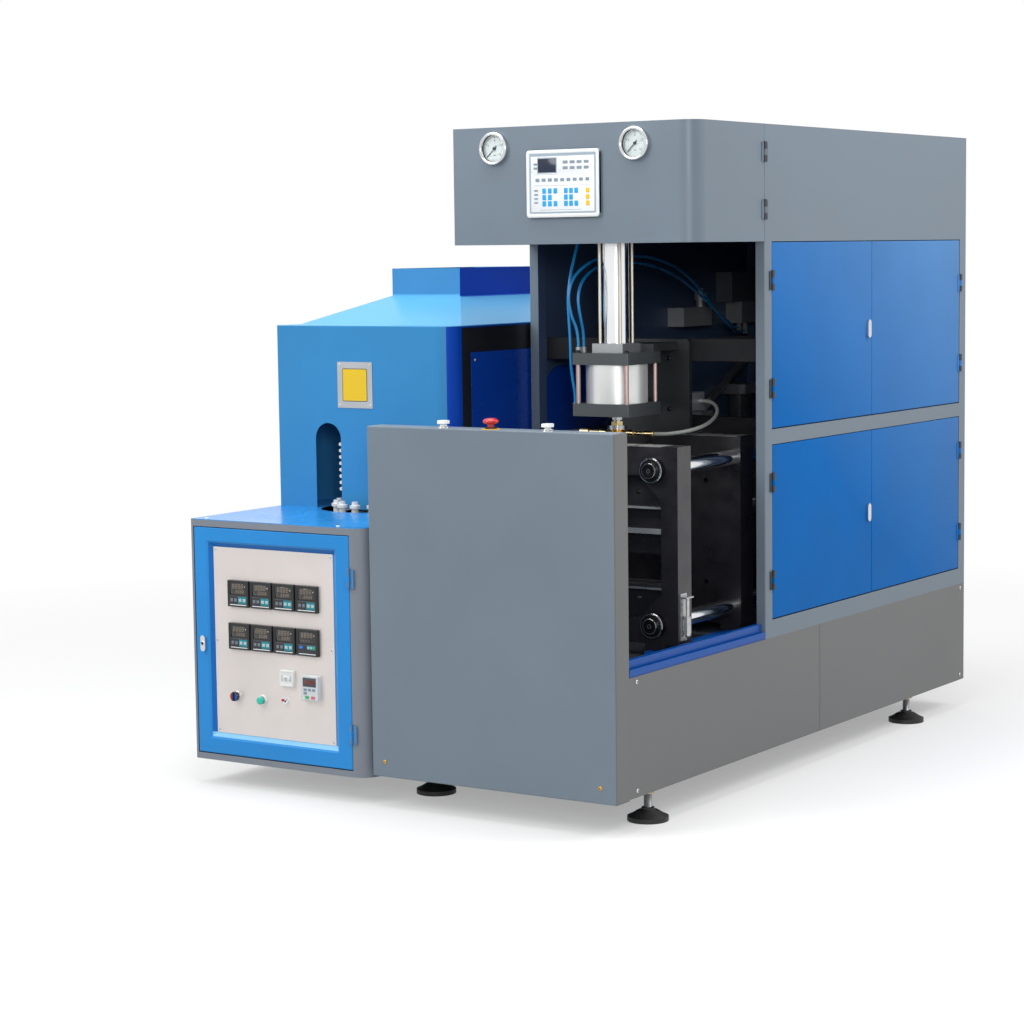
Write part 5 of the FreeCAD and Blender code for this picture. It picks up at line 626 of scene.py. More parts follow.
class MACHINE_OT_sheet_finishes(bpy.types.Operator):
    """Powder coat and enamel of the sheets, frames, doors and hood"""
    bl_idname = "machine.sheet_finishes"
    bl_label = "Sheet finishes"

    def execute(self, context):
        paint = context.scene.machine_paint
        inner = block_zone((1, 788.5, 394), (748, 2123, 1779))
        # Polyester powder coat, baked: a fine orange peel of 2 mm and a half-matt sheen
        dress(finish("slate polyester powder coat", paint.slate, roughness=0.42, **POWDER,
                     zones=[(inner, paint.inside, 0.0, 0.5)]), "housing_panels", "housing_side_right")
        # The cover's right fold is painted in the darker plinth grey: painted shade of the lower right-facing side
        fold = block_zone((746.5, -1, 80), (752, 64, 1010))
        dress(finish("slate polyester powder coat of the cover", paint.slate, roughness=0.42, **POWDER,
                     zones=[(fold, paint.plinth, 0.0, 0.42)]), "front_cover")
        dress(finish("grey polyester powder coat of the base", paint.plinth, roughness=0.44, **POWDER), "base_panels")
        cross_beam = block_zone((2, 830, 1142), (746, 874, 1206))
        # The right post's front face from z 606 up is painted dark navy: painted shade under the canopy
        post_painted_shade = block_zone((698, 784, 606), (748.2, 790, 1467))
        under_bed = block_zone((60, 63.5, 380), (689, 790, 396))
        # The frame's tubes take the slate coat painted a quarter darker: painted shade
        dress(finish("slate powder coat on tube with painted shade", below(paint.slate, 0.75), roughness=0.45, grain_mm=2.2,
                     grain=0.14, cloud=0.05, cloud_mm=200,
                     zones=[(inner, below(paint.inside, 1.1), 0.0, 0.5), (cross_beam, "0b0e14", 0.0, 0.85),
                            (post_painted_shade, "2a3548", 0.0, 0.45), (under_bed, "3a3f45", 0.3, 0.45)]),
              "housing_frame", "base_frame")
        canopy_inside = [block_zone((1, 416.5, 1466), (699, 786, 1778.4)),
                         block_zone((698, 465, 1466), (747.6, 786, 1778.4)),
                         both(round_zone((699, 465, 0), UPWARD, 48.6),
                              block_zone((690, 410, 1466), (760, 480, 1778.4)))]
        dress(finish("slate powder coat of the canopy", paint.slate, roughness=0.4, **(POWDER | {"cloud_mm": 300}),
                     zones=alike(canopy_inside, paint.inside, 0.0, 0.5)), "canopy_cover")
        # Alkyd enamel, sprayed: glossier than powder, with a longer, softer ripple. The doors' colour is painted
        # paler toward the upper rear: a painted highlight of the light there
        dress(finish("sprayed blue door enamel with painted highlight", paint.door, roughness=0.34, grain_mm=5.0, grain=0.03, cloud=0.06,
                     cloud_mm=320, fade=((749, 829, 1050), (749, 1374, 1901), "5a8cc4"), **{SHEEN: 0.04}),
              "door_upper_front", "door_upper_rear", "door_lower_front", "door_lower_rear")
        dress(finish("sprayed track enamel", paint.track, roughness=0.35, grain_mm=5.0, grain=0.04, cloud=0.05,
                     zones=[(block_zone((-10, 60, 390), (760, 790, 397)), "0b3f86", 0.0, 0.4)], **{SHEEN: 0.25}),
              "bed_tracks")
        # The hood shell's right strip, from x -27, is painted deep blue: painted shade of its right-facing side and
        # corner
        dress(finish("sprayed mid blue enamel", paint.hood, roughness=0.34, **ENAMEL, **{SHEEN: 0.15},
                     zones=[(block_zone((-27, 380, 730), (0, 1415, 1252)), "0044b4", 0.0, 0.4)]), "hood_shell")
        chimney = block_zone((-420, 688, 1331), (-170, 1116, 1407))
        # The chimney's right face is painted deep blue: painted shade of the side turned from the light
        chimney_side_shade = block_zone((-178, 690, 1290), (-170, 1115, 1410))
        # The slopes' cyan is the hood blue painted paler, as a painted highlight of the light from above
        dress(finish("sprayed blue enamel of the slopes with painted highlight", paint.roof, roughness=0.36, **ENAMEL, **{SHEEN: 0.4},
                     zones=[(chimney, paint.hood, 0.0, 0.36), (chimney_side_shade, "0045c0", 0.0, 0.4)]), "hood_roof")
        # The door's bevelled edges are its own enamel painted in other tints: darker blue on the left and top bevels
        # as painted shade, pale blue on the bottom bevel as a painted highlight
        bevel_shade_and_highlight = [(block_zone((-556, 4, 128), (-536.5, 20, 680)), "1268b8", 0.0, 0.36),
                  (block_zone((-556, 4, 659), (-108, 20, 680)), "1968b6", 0.0, 0.36),
                  (block_zone((-556, 4, 126), (-108, 20, 147.5)), "8ac8f2", 0.0, 0.3)]
        dress(finish("sprayed light blue enamel", paint.heater, roughness=0.33, **ENAMEL, **{SHEEN: 0.2},
                     zones=bevel_shade_and_highlight), "cabinet_door")
        underside = block_zone((-600, 5, 60), (-20, 1405, 732.5))
        dress(finish("sprayed light blue enamel of the top", paint.heater, roughness=0.28, grain_mm=5.0, grain=0.05,
                     cloud=0.04, coat=0.15, zones=[(underside, "3b4046", 0.2, 0.5)]), "heater_top")
        dress(finish("grey powder coat of the cabinet", paint.cabinet, roughness=0.45, **POWDER), "heater_cabinet")
        plate = block_zone((-393, 389.0, 1018), (-268, 391.6, 1151))
        black_frame = block_zone((-11.6, 437, 733), (-7.95, 1413, 1252))
        rivets = [round_zone((x, 391, z), FORWARD, 3.2) for x, z in RIVETS]
        dress(finish("deep blue enamel and black frame", paint.deep, roughness=0.3, grain_mm=5.0, grain=0.06,
                     cloud=0.06, coat=0.15, zones=[(black_frame, "12151d", 0.0, 0.45), (plate, "b4b8bc", 0.85, 0.34),
                                                   *alike(rivets, "c9c9c6", 1.0, 0.3)]), "hood_plates")
        # Bitumen-black enamel over a sand casting: a broken, pitted gloss of about 4 mm
        # The platens' top edges and rib ledges are painted bright steel: painted highlights of edges catching the
        # light
        painted_ledge_highlights = [block_zone((100, y - 1, 941.4), (650, y + 71, 942.6)) for y in (398, 806)]
        painted_ledge_highlights += [block_zone((STACK[0] + a, 397 + sunk, low), (STACK[0] + b, 399 + sunk, high))
                     for a, b in ((-274, -10), (10, 274))
                     for low, high, sunk in ((565, 572.5, 12), (713, 728.5, 0), (777, 784.5, 10))]
        dress(finish("black enamel on cast iron with painted highlights", paint.casting, roughness=0.34, grain_mm=4.0, grain=0.16, cloud=0.12,
                     cloud_mm=60, uneven=0.1, coat=0.1, zones=alike(painted_ledge_highlights, "d8dadb", 0.85, 0.32)),
              "front_platen", "moving_platen", "rear_platen")
        beam = block_zone((-5, 832.5, 1143), (760, 872, 1205))
        dress(finish("hammered charcoal enamel", "2a2e30", roughness=0.36, grain_mm=3.0, grain=0.2, cloud=0.08,
                     uneven=0.06, zones=[(beam, "1c1f26", 0.0, 0.45)]), "cylinder_bracket")
        return {"FINISHED"}


class MACHINE_OT_metal_finishes(bpy.types.Operator):
    """Chrome, zinc, brass, aluminium, glass and plastics of the working parts"""
    bl_idname = "machine.metal_finishes"
    bl_label = "Metal and plastic finishes"

    def execute(self, context):
        self.metals()
        self.cylinders()
        self.valves_and_feet()
        self.panels(context.scene.machine_paint)
        self.buttons()
        self.glass()
        return {"FINISHED"}

    def metals(self):
        """Chrome, zinc and steel of bars, tubes, locks, gauges and chain."""
        # Hard chrome, ground along its length and polished: nearly a mirror, with faint lengthwise grinding
        bar_end = block_zone((0, 375.5, 400), (750, 398.3, 950))
        dress(finish("hard chrome on ground bar", "e6e8ea", 1.0, 0.14, cloud=0.03, grain_mm=1.2, grain=0.06,
                     stretch=(1, 40, 1), uneven=0.03, zones=[(bar_end, "1b1b1e", 0.6, 0.38)]),
              "tie_bars", "clamp_rod")
        ties = [round_zone((x, y, 0), UPWARD, 4.6) for x, y in round_stack(32)]
        caps = [block_zone((320, 580, low), (430, 690, high)) for low, high in ((1174.5, 1199.2), (1689.9, 1716))]
        dress(finish("hard chrome on drawn tube", "eceef0", 1.0, 0.16, cloud=0.03, grain_mm=1.2, grain=0.05,
                     stretch=(1, 1, 40), uneven=0.03,
                     zones=alike(ties, "d9d2c4", 0.6, 0.3) + alike(caps, "a4a8aa", 0.7, 0.36)),
              "stretch_cylinder", "stretch_rod")
        dress(finish("polished chrome plate", "d4d6d8", 1.0, 0.13, cloud=0.03, grain_mm=2.0, grain=0.03),
              "door_lock_upper", "door_lock_lower", "cabinet_latch")
        # Gauge case: rolled stainless bezel, black painted case behind, enamelled white dial
        dials = [round_zone((x, DIAL_Y, GAUGE_Z), FORWARD, 37.0) for x in GAUGE_X]
        behind = block_zone((80, 413, 1670), (630, 470, 1775))
        dress(finish("rolled stainless bezel", "c4c8cb", 1.0, 0.2, grain_mm=1.5, grain=0.05, cloud=0.04,
                     zones=[(behind, "1a1b1d", 0.1, 0.45), *alike(dials, "e9ebe8", 0.0, 0.4)]), "pressure_gauges")
        # Zinc plate, blue passivated: dull silver with cloudy, slightly warm patches
        dress(finish("passivated zinc plate", "b3b5b6", 0.9, 0.36, cloud=0.14, cloud_mm=14, grain_mm=1.5, grain=0.12,
                     uneven=0.1), "button_bases", "panel_screws", "limit_switch", "sync_pinion", "toggle_lever")
        rail = [block_zone((-450, 350, 693.5), (-200, 1350, 700.5)), block_zone((-372, 400, 60), (-280, 1300, 703))]
        dress(finish("oiled steel chain", "8d8f90", 0.9, 0.34, cloud=0.2, cloud_mm=10, grain_mm=1.5, grain=0.15,
                     uneven=0.1, zones=alike(rail, "4a4e52", 0.5, 0.5)), "chain_links")
        # Turned brass, lightly tarnished: lathe rings too fine to see, warm darker clouds
        dress(small("turned brass", "cdb98c", 0.24, 0.14, 0.08, metallic=1.0, cloud_mm=12), "nozzle_fittings")
        collar = block_zone((340, 600, 945), (410, 670, 965.5))
        dress(small("turned stainless nozzle", "b9bbb8", 0.26, 0.08, 0.08, metallic=1.0, cloud_mm=16,
                    zones=[(collar, "c89a4a", 1.0, 0.26)]), "blow_nozzle")

    def cylinders(self):
        """Seal and clamp cylinders."""
        # Anodised aluminium, extruded barrel between cast end plates
        plates = [block_zone((285, 547, low), (465, 727, high)) for low, high in ((1003, 1038.1), (1142.9, 1176))]
        bolts = [round_zone((x, y, 0), UPWARD, 7.2) for x, y in round_stack(76)]
        dress(finish("anodised aluminium barrel", "e2e5e3", 0.6, 0.34, cloud=0.05, grain_mm=1.5, grain=0.06,
                     stretch=(1, 1, 20),
                     zones=alike(bolts, "b7a09b", 0.9, 0.34) + alike(plates, "4b5053", 0.35, 0.4)), "seal_cylinder")
        barrel = block_zone((270, 1566, 560), (480, 1854, 800))
        dress(finish("anodised clamp cylinder", "8a8f93", 0.7, 0.35, cloud=0.06, grain_mm=1.5, grain=0.08,
                     stretch=(1, 20, 1), zones=[(barrel, "a9adb0", 0.9, 0.28)]), "clamp_cylinder")

    def valves_and_feet(self):
        """Valves on the left wall, levelling feet and fixed hinges."""
        # Diecast valve bodies, grey control box of pressed steel, black elbows
        control_box = block_zone((1, 1873, 1279.9), (61, 2037, 1376))
        ledge = block_zone((1, 1753, 1149), (61, 2036, 1169))
        nozzle_valve = block_zone((430, 830, 1003), (494, 915, 1057))
        pipe = block_zone((1, 1755, 946), (66, 2040, 1149.5))
        bowl = block_zone((1, 1904, 892), (92, 1994, 985))
        dress(finish("diecast aluminium valves", "a4a8aa", 0.4, 0.42, cloud=0.07, cloud_mm=30, grain_mm=1.5,
                     grain=0.15, zones=[(control_box, "5f676b", 0.1, 0.42), (ledge, "9ba0a2", 0.6, 0.35),
                                        (nozzle_valve, "a7abac", 0.6, 0.36), (pipe, "9a9ea0", 0.8, 0.34),
                                        (bowl, "43484d", 0.1, 0.2)]), "valve_blocks")
        # Cast pad with a black rubber bell, zinc stud and yellow-passivated nut
        nuts = [block_zone((-620, 160, low), (760, 1860, high)) for low, high in ((55.9, 70.5), (72.9, 87.2))]
        above_pad = block_zone((-620, 160, 34.2), (760, 1860, 90))
        studs = [both(round_zone((x, y, 0), UPWARD, 10.4), above_pad) for x, y, _ in FEET]
        dress(finish("black rubber bell pads", "1c1c1e", 0.0, 0.5, cloud=0.12, cloud_mm=40, grain_mm=2.0, grain=0.2,
                     uneven=0.08, zones=alike(nuts, "b49a4e", 0.9, 0.3) + alike(studs, "a9abad", 0.9, 0.3)),
              "levelling_feet")
        # Hinges: pressed steel leaves, enamelled with the doors, on bronze-coloured pins
        pins = [round_zone((753.5, y, 0), UPWARD, 3.0) for y in (828, 2078)]
        heater_side = block_zone((-110, -30, 60), (-30, 60, 740))
        dress(finish("enamelled hinge leaves", "3b4046", 0.2, 0.4, cloud=0.08, grain_mm=2.0, grain=0.12,
                     zones=[(heater_side, "4a7fb0", 0.1, 0.4), *alike(pins, "a8834a", 1.0, 0.3)]), "fixed_hinges")

    def panels(self, paint):
        """Control panel with its housings, and the operator's keypad frame."""
        # Stainless panel, brushed along its width: hairlines 0.8 mm apart, drawn as coarse as they need to show
        dress(finish("brushed stainless panel", paint.panel, 0.4, 0.4, cloud=0.04, cloud_mm=160, grain_mm=0.8,
                     grain=0.22, stretch=(60, 1, 1), uneven=0.05), "control_panel")
        # ABS and polycarbonate housings, moulded: spark-eroded grain of 1 mm
        breaker = block_zone((-310, 0, 294), (-261, 60, 340))
        drive = block_zone((-233, -4, 264), (-175, 60, 332))
        rings = [round_zone(on_panel(control, 10), FORWARD, 14.4) for control in (SELECTOR, RUN, TOGGLE)]
        dress(small("moulded black ABS", "17181b", 0.38, 0.06, 0.12,
                    zones=[(breaker, "dfe1e2", 0.0, 0.4), (drive, "d9dde0", 0.0, 0.4),
                           *alike(rings, "c8cacb", 0.95, 0.22)]), "panel_instruments")
        dress(small("black lacquered pointer", "333c48", 0.35, 0.05, 0.05), "gauge_needle_left", "gauge_needle_right")
        display = block_zone((276, 406.5, 1655), (334, 408.6, 1693))
        dress(small("moulded grey keypad frame", "9fb0bd", 0.4, 0.05, 0.1, zones=[(display, "131d2b", 0.0, 0.12)]),
              "hmi_panel")

    def buttons(self):
        """Caps and knobs that a hand pushes or turns, and the chucks."""
        # Polycarbonate caps, moulded and polished
        dress(small("moulded white polycarbonate", "e4e8ea", 0.25, 0.03, 0.04, coat=0.2),
              "start_button_left", "start_button_right")
        dress(small("turned white acetal", "dde1e3", 0.38, 0.05, 0.08, cloud_mm=20), "preform_chucks")
        dress(small("moulded red polycarbonate", "c0141c", 0.24, 0.04, 0.04, coat=0.3), "emergency_button")
        dress(small("moulded green polycarbonate", "10b39c", 0.24, 0.04, 0.04, coat=0.3), "run_button")
        dress(small("moulded black knob", "1b1c1f", 0.35, 0.05, 0.08), "selector_knob")

    def glass(self):
        """Lamp tubes and the gauges' panes."""
        # Quartz lamp tube: clear, with the milky white of its coiled filament and reflector coat
        lamp_ends = [block_zone((-420, y - 9, 700), (-230, y + 9, 940)) for y in (421, 1200)]
        dress(finish("quartz lamp tube", "e8e2d4", 0.0, 0.12, cloud=0.03, grain_mm=2.0, grain=0.03, coat=0.4,
                     zones=alike(lamp_ends, "aeb2b4", 0.8, 0.35)), "lamp_banks")
        # Clear glass, with a faint smear of the hand that wiped it
        pane, output = blank("clear gauge glass")
        place = add(pane, "TexCoord").outputs["Object"]
        smear = add(pane, "TexNoise", {"Vector": place, "Scale": 60.0})
        rough = add(pane, "MapRange", {0: smear.outputs["Fac"], 3: 0.01, 4: 0.05})
        clear = add(pane, "BsdfPrincipled", {"Base Color": linear("f6fafa"), "Roughness": rough.outputs[0],
                                             "Transmission Weight": 1.0, "IOR": 1.06})
        pane.node_tree.links.new(clear.outputs[0], output.inputs[0])
        dress(pane, "gauge_glasses")


# ---------------------------------------------------------------- instruments
class MACHINE_OT_gauges(bpy.types.Operator):
    """Printed dials and rolled bezels of the two pressure gauges"""
    bl_idname = "machine.gauges"
    bl_label = "Pressure gauges"

    def execute(self, context):
        made = context.scene.machine_instruments
        # Dial: enamelled aluminium, screen printed in black
        enamel = small("enamelled dial", "dcdfe0", 0.35, 0.03, 0.03)
        ink = small("black screen ink", "1d1e20", 0.5, 0.06, 0.05)
        steel = finish("rolled stainless bezel ring", "d2d5d8", 1.0, 0.14, cloud=0.03, grain_mm=1.5, grain=0.03)
        for name, x in zip(("left", "right"), GAUGE_X):
            centre = (x, DIAL_Y - 0.05, GAUGE_Z)
            dial = Piece(f"gauge_dial_{name}", "canopy_cover", enamel, ink)
            dial.rows(lathe([(35.6, 0), (35.6, 0.35)], centre, FORWARD, 64))
            face = (x, DIAL_Y - 0.4, GAUGE_Z)
            for step in range(made.dial_steps + 1):
                turn = made.dial_sweep * (step / made.dial_steps - 0.5)
                long = step % (made.dial_steps // 4) == 0
                half = step % (made.dial_steps // 8) == 0
                size = (1.0, 6.5) if long else (0.7, 5.0) if half else (0.45, 3.2)
                mark = moved(rectangle(*size), 0, 32.6 - size[1] / 2)
                dial.rows(stacked(moved(mark, turn=-turn), [(0, 0), (0, 0.12)], face, FRONT), 1)
            arc = np.linspace(-made.dial_sweep / 2, made.dial_sweep / 2, 60)
            ring = [np.stack([r * np.sin(arc), r * np.cos(arc)], axis=1) for r in (32.8, 33.3)]
            strip = np.array([np.array(face) + np.stack([p[:, 0], -h * np.ones(60), p[:, 1]], axis=1)
                              for p, h in ((ring[0], 0), (ring[0], 0.12), (ring[1], 0.12), (ring[1], 0))])
            index = np.arange(240).reshape(4, 60)
            quads = np.stack([index[:-1, :-1], index[:-1, 1:], index[1:, 1:], index[1:, :-1]], axis=-1).reshape(-1, 4)
            dial.mesh(strip.reshape(-1, 3), quads.tolist(), 1)
            for k in range(5):
                turn = made.dial_sweep * (k / 4 - 0.5)
                place = (x + 21.5 * math.sin(turn), DIAL_Y - 0.5, GAUGE_Z + 21.5 * math.cos(turn))
                dial.mesh(*numeral(str(round(made.dial_last * k / 4)), 7.5, place, FRONT), 1)
            dial.mesh(*numeral("bar", 6.0, (x, DIAL_Y - 0.5, GAUGE_Z - 17), FRONT), 1)
            dial.make()
            bezel = Piece(f"gauge_bezel_{name}", "canopy_cover", steel)
            lip = [(36.2, 3.9), (36.2, 1.0), (37.2, -0.2), (39.5, -1.2), (42.0, -0.8), (43.6, 1.0), (44.0, 3.5),
                   (44.0, 11.8), (43.1, 11.8), (43.1, 3.2), (36.2, 3.9)]
            profile = [(r, GAUGE_PROUD - h) for r, h in lip]
            bezel.rows(lathe(profile[::-1], (x, 415, GAUGE_Z), FORWARD, 64), closed=False)
            bezel.make()
        return {"FINISHED"}


def key_steps(height):
    """Sides, a rounded shoulder and a flat top."""
    return [(0, 0), (0, height * 0.6), (0.25, height * 0.9), (0.7, height)]


class MACHINE_OT_keypad(bpy.types.Operator):
    """Membrane keypad: pale field, display window and colour-coded keys"""
    bl_idname = "machine.keypad"
    bl_label = "Operator keypad"

    def execute(self, context):
        made = context.scene.machine_instruments
        # Membrane keypad: polyester film printed from behind, embossed over each key
        film = small("printed polyester film", "f2f6f9", 0.35, 0.04, 0.1)
        cyan = small("cyan membrane key", made.cyan_key, 0.3, 0.05, 0.08)
        yellow = small("yellow membrane key", made.yellow_key, 0.3, 0.05, 0.08)
        grey = small("grey membrane key", made.grey_key, 0.35, 0.05, 0.08)
        ink = small("grey keypad ink", "6d7f90", 0.4, 0.05, 0.05)
        glass = finish("smoked display window", "16243c", roughness=0.2, cloud=0.05, grain_mm=3.0, grain=0.01)
        pad = Piece("keypad_film", "canopy_cover", film, cyan, yellow, grey, ink, glass)
        face = (0, 406, 0)

        def plate(x, z, width, height, number, lift=0.3, base=0.0, radius=1.2):
            """Flat field with a small chamfer at its top."""
            steps = [(0, base), (0, base + lift * 0.7), (0.2, base + lift)]
            pad.plate(x, z, width, height, radius, 4, steps, face, number)

        def key(x, z, width, height, number):
            """Embossed key on the film."""
            steps = [(a, 0.25 + b) for a, b in key_steps(made.key_height / MM)]
            pad.plate(x, z, width, height, 1.6, 4, steps, face, number)

        field_left, field_right, field_low, field_high = 255, 451, 1553, 1698
        left, right, low, high = 274.0, 336.0, 1653.0, 1695.0       # opening for the display
        for x0, x1, z0, z1 in ((field_left, left, low, field_high), (right, field_right, low, field_high),
                               (left, right, high, field_high), (field_left, field_right, field_low, low)):
            plate((x0 + x1) / 2, (z0 + z1) / 2, x1 - x0, z1 - z0, 0, radius=0.2)
        plate(305, 1674, 55.6, 35.6, 5, 0.4, -1.5, 0.5)
        for z in (1678, 1667.5):
            key(269, z, 11, 6, 3)
        for z in (1682, 1667):
            for column in range(4):
                key(362.3 + 21.6 * column, z, 15.4, 8, 3)
        for column in range(9):
            key(275.2 + 19.35 * column, 1636.5, 12.3, 8.8, 3)
        for row, z in enumerate((1607.6, 1590.6, 1574.2)):
            for group in ((296, 313.5, 331), (363.4, 379.5, 395.6)):
                for x in group[:2] if row == 1 else group:
                    key(x, z, 11.6, 14, 1)
            key(430.8, z, 11.4, 13, 2)
        for row in range(4):
            key(270.5, 1608.8 - 10.5 * row, 12.3, 4.6, 3)
        plate(346.5, 1557.8, 126, 0.8, 4, 0.15, 0.25, 0.3)
        for z in (1650.5, 1621.5):
            plate(353, z, 176, 0.8, 4, 0.15, 0.25, 0.3)
        pad.make()
        # Keypad frame's soft edge: a raised, rounded border round the film
        border = Piece("keypad_border", "canopy_cover", small("moulded keypad border", "eceff2", 0.35, 0.04, 0.08))
        steps = ((0, -8.8), (0, -1.0), (0.6, 0.4), (2.0, 1.0), (8.0, 1.0), (9.4, 0.6), (9.8, 0))
        border.rows(rim_rows((226, 177), 9, 6, steps, (353, 406, 1626.5), sharper=6), closed=False)
        border.make()
        return {"FINISHED"}


def segments(height):
    """Seven bars of one display digit: (outline, middle, turn) laid out on a figure eight."""
    width, thick = height * 0.5, height * 0.13
    long = height / 2 - thick * 0.35
    end, side = long / 2, thick / 2
    bar = np.array([(-end, 0), (-end + side, -side), (end - side, -side), (end, 0), (end - side, side),
                    (-end + side, side)])
    flat = [moved(bar * (width / long, 1), 0, z) for z in (-height / 2, 0, height / 2)]
    upright = [moved(moved(bar, turn=math.pi / 2), s * width / 2, z) for s in (-1, 1) for z in
               (-height / 4, height / 4)]
    slant = np.array([[1, 0], [0.1, 1]])
    return [outline @ slant for outline in flat + upright]


class MACHINE_OT_controllers(bpy.types.Operator):
    """Faces of the eight temperature controllers, the breaker and the drive's keypad"""
    bl_idname = "machine.controllers"
    bl_label = "Controllers"

    def execute(self, context):
        made = context.scene.machine_instruments
        # Controller face: moulded black ABS frame round a smoked acrylic window and a printed key film
        frame_black = small("controller frame", "141518", 0.36, 0.05, 0.1)
        window = finish("smoked acrylic window", "1d1b1b", roughness=0.1, cloud=0.04, grain_mm=2.0, grain=0.01,
                        coat=0.5)
        digit = small("unlit display segments", made.digit, 0.4, 0.05, 0.02)
        dark = small("dark key film", "23262b", 0.4, 0.05, 0.08)
        teal = small("teal key film", made.teal, 0.38, 0.05, 0.08)
        pale = small("pale key", "a9c2c6", 0.35, 0.05, 0.08)
        grey = small("grey key", "6e7780", 0.35, 0.05, 0.08)
        blue = small("blue key", "2c6fd0", 0.32, 0.05, 0.06)
        green = small("green key", "46b45a", 0.32, 0.05, 0.06)
        white = small("white print", "dfe6e8", 0.4, 0.03, 0.04)
        palette = (frame_black, window, digit, dark, teal, pale, grey, white, blue, green)
        centres = [(-447 + 78 * column, z) for z in (536, 419) for column in range(4)]
        for number, (x, z) in enumerate(centres):
            self.controller(f"controller_face_{number + 1}", x, z, palette, last=number == 7)
        self.breaker()
        self.drive()
        return {"FINISHED"}

    def controller(self, name, x, z, palette, last):
        """One face: frame, sunk window with digits, key strips. The last one has a single row of digits."""
        face = Piece(name, "cabinet_door", *palette)
        at_face, in_screen = (x, 2.0, z), (x, 3.5, z)

        def plate(px, pz, width, height, number, lift=0.25, radius=0.8, where=at_face, steps=None):
            """Flat field with a small chamfer at its top, or with steps of its own."""
            steps = steps or [(0, 0), (0, lift * 0.7), (0.15, lift)]
            face.plate(px, pz, width, height, radius, 3, steps, where, number)

        edge = [(0, -8.9), (0, -0.4), (0.3, 0.5), (1.2, 1.2), (2.6, 1.2), (3.4, 0.4), (3.6, 0.0)]
        face.rows(rim_rows((72.4, 72.4), 2.6, 4, edge, at_face), 0, closed=False)
        plate(0, 13.5, 55.8, 30.8, 1, 0.5, 0.6, in_screen)
        rows_of_digits = ((11.5, 20.0, -16.5, 10.0), (8.0, 6.0, -6.0, 7.6))
        for height, up, first, pitch in rows_of_digits[:1] if last else rows_of_digits:
            for k in range(4):
                for bar in segments(height):
                    outline = moved(bar, first + k * pitch, up)
                    face.rows(stacked(outline, [(0, 0.5), (0, 0.62)], in_screen, FRONT), 2)
        if last:
            for k in range(3):
                plate(-12 + 9 * k, 5.5, 4.2, 1.6, 2, 0.62, 0.4, in_screen)
        plate(22.5, 20, 3.0, 3.0, 7, 0.66, 1.4, in_screen)
        plate(0, -6.0, 58, 0.7, 6, 0.2, 0.3)
        press = [(0, 0), (0, 0.7), (0.3, 1.1), (0.9, 1.3)]
        if last:
            plate(-15.5, -13, 27, 11, 3, 0.2)
            plate(-20.5, -13, 13, 7, 8, steps=press)
            plate(13.5, -13, 29, 11, 4, 0.2)
            for k in range(3):
                plate(4.5 + 9 * k, -13, 6.5, 6, 9 if k == 2 else 5, steps=press)
            plate(0, -25, 57, 9, 3, 0.2)
        else:
            plate(-15, -17.5, 27, 19, 3, 0.2)
            for k in range(2):
                plate(-21.5 + 13 * k, -17.5, 8.5, 8.5, 6, steps=press)
            plate(14.5, -17.5, 29, 19, 4, 0.2)
            for k in range(2):
                plate(7.5 + 14 * k, -17.5, 9.5, 8.5, 5, steps=press)
        plate(0, -30.4, 57, 2.4, 7, 0.2, 0.5)
        face.make()

    def breaker(self):
        """Moulded breaker front: raised rim, sunk field and an oval lever."""
        body = small("moulded white urea", "e3e5e5", 0.34, 0.04, 0.05)
        shade = small("grey breaker lever", "b7bcbf", 0.32, 0.05, 0.05)
        piece = Piece("breaker_front", "cabinet_door", body, shade)
        centre = (-285.5, 1.0, 317)
        edge = ((0, -9.8), (0, -0.3), (0.4, 0.4), (1.4, 0.9), (4.0, 0.9), (5.0, 0.2), (5.4, 0.02))
        piece.rows(rim_rows((47.2, 44.2), 3.0, 5, edge, centre), 0)
        oval = circle(1.0, 32) * (11.5, 7.0)
        piece.rows(stacked(oval, [(0, 0), (0, 1.4), (0.7, 2.2), (2.2, 2.5)], centre, FRONT), 0)
        slot = rounded_rectangle(7, 9.4, 1.5, 4)
        piece.rows(stacked(slot, [(0, 2.3), (0, 4.6), (0.4, 5.2), (1.2, 5.6)], centre, FRONT), 1)
        for x in (-14, 14):
            piece.plate(x, 0, 5, 16, 1, 3, [(0, 0), (0, 0.5), (0.3, 0.7)], centre, 1)
        piece.make()

    def drive(self):
        """Drive keypad: sunk display, five keys and a moulded frame."""
        shell = small("moulded grey drive housing", "d3d8dc", 0.36, 0.04, 0.06)
        slate = small("slate drive frame", "39434d", 0.4, 0.05, 0.08)
        red = finish("dark red display", "3c0d10", roughness=0.1, cloud=0.05, grain_mm=2.0, grain=0.01, coat=0.5)
        segment = small("red display segments", "8f2a24", 0.4, 0.05, 0.02)
        key = small("blue-grey key", "7f93a6", 0.34, 0.05, 0.06)
        go = small("green key", "3fae6a", 0.34, 0.05, 0.06)
        halt = small("pink key", "d0697c", 0.34, 0.05, 0.06)
        piece = Piece("drive_keypad", "cabinet_door", shell, slate, red, segment, key, go, halt)
        centre = (-204, -3.0, 298)
        edge = ((0, -13.8), (0, -0.4), (0.4, 0.3), (1.4, 0.7), (3.2, 0.7), (3.6, 0.3))
        piece.rows(rim_rows((56.4, 66.4), 3.2, 5, edge, centre), 0)

        def plate(x, z, width, height, number, lift=0.8, radius=1.0):
            """Flat field or key with a small chamfer at its top."""
            piece.plate(x, z, width, height, radius, 4, [(0, 0.2), (0, lift * 0.7), (0.3, lift)], centre, number)

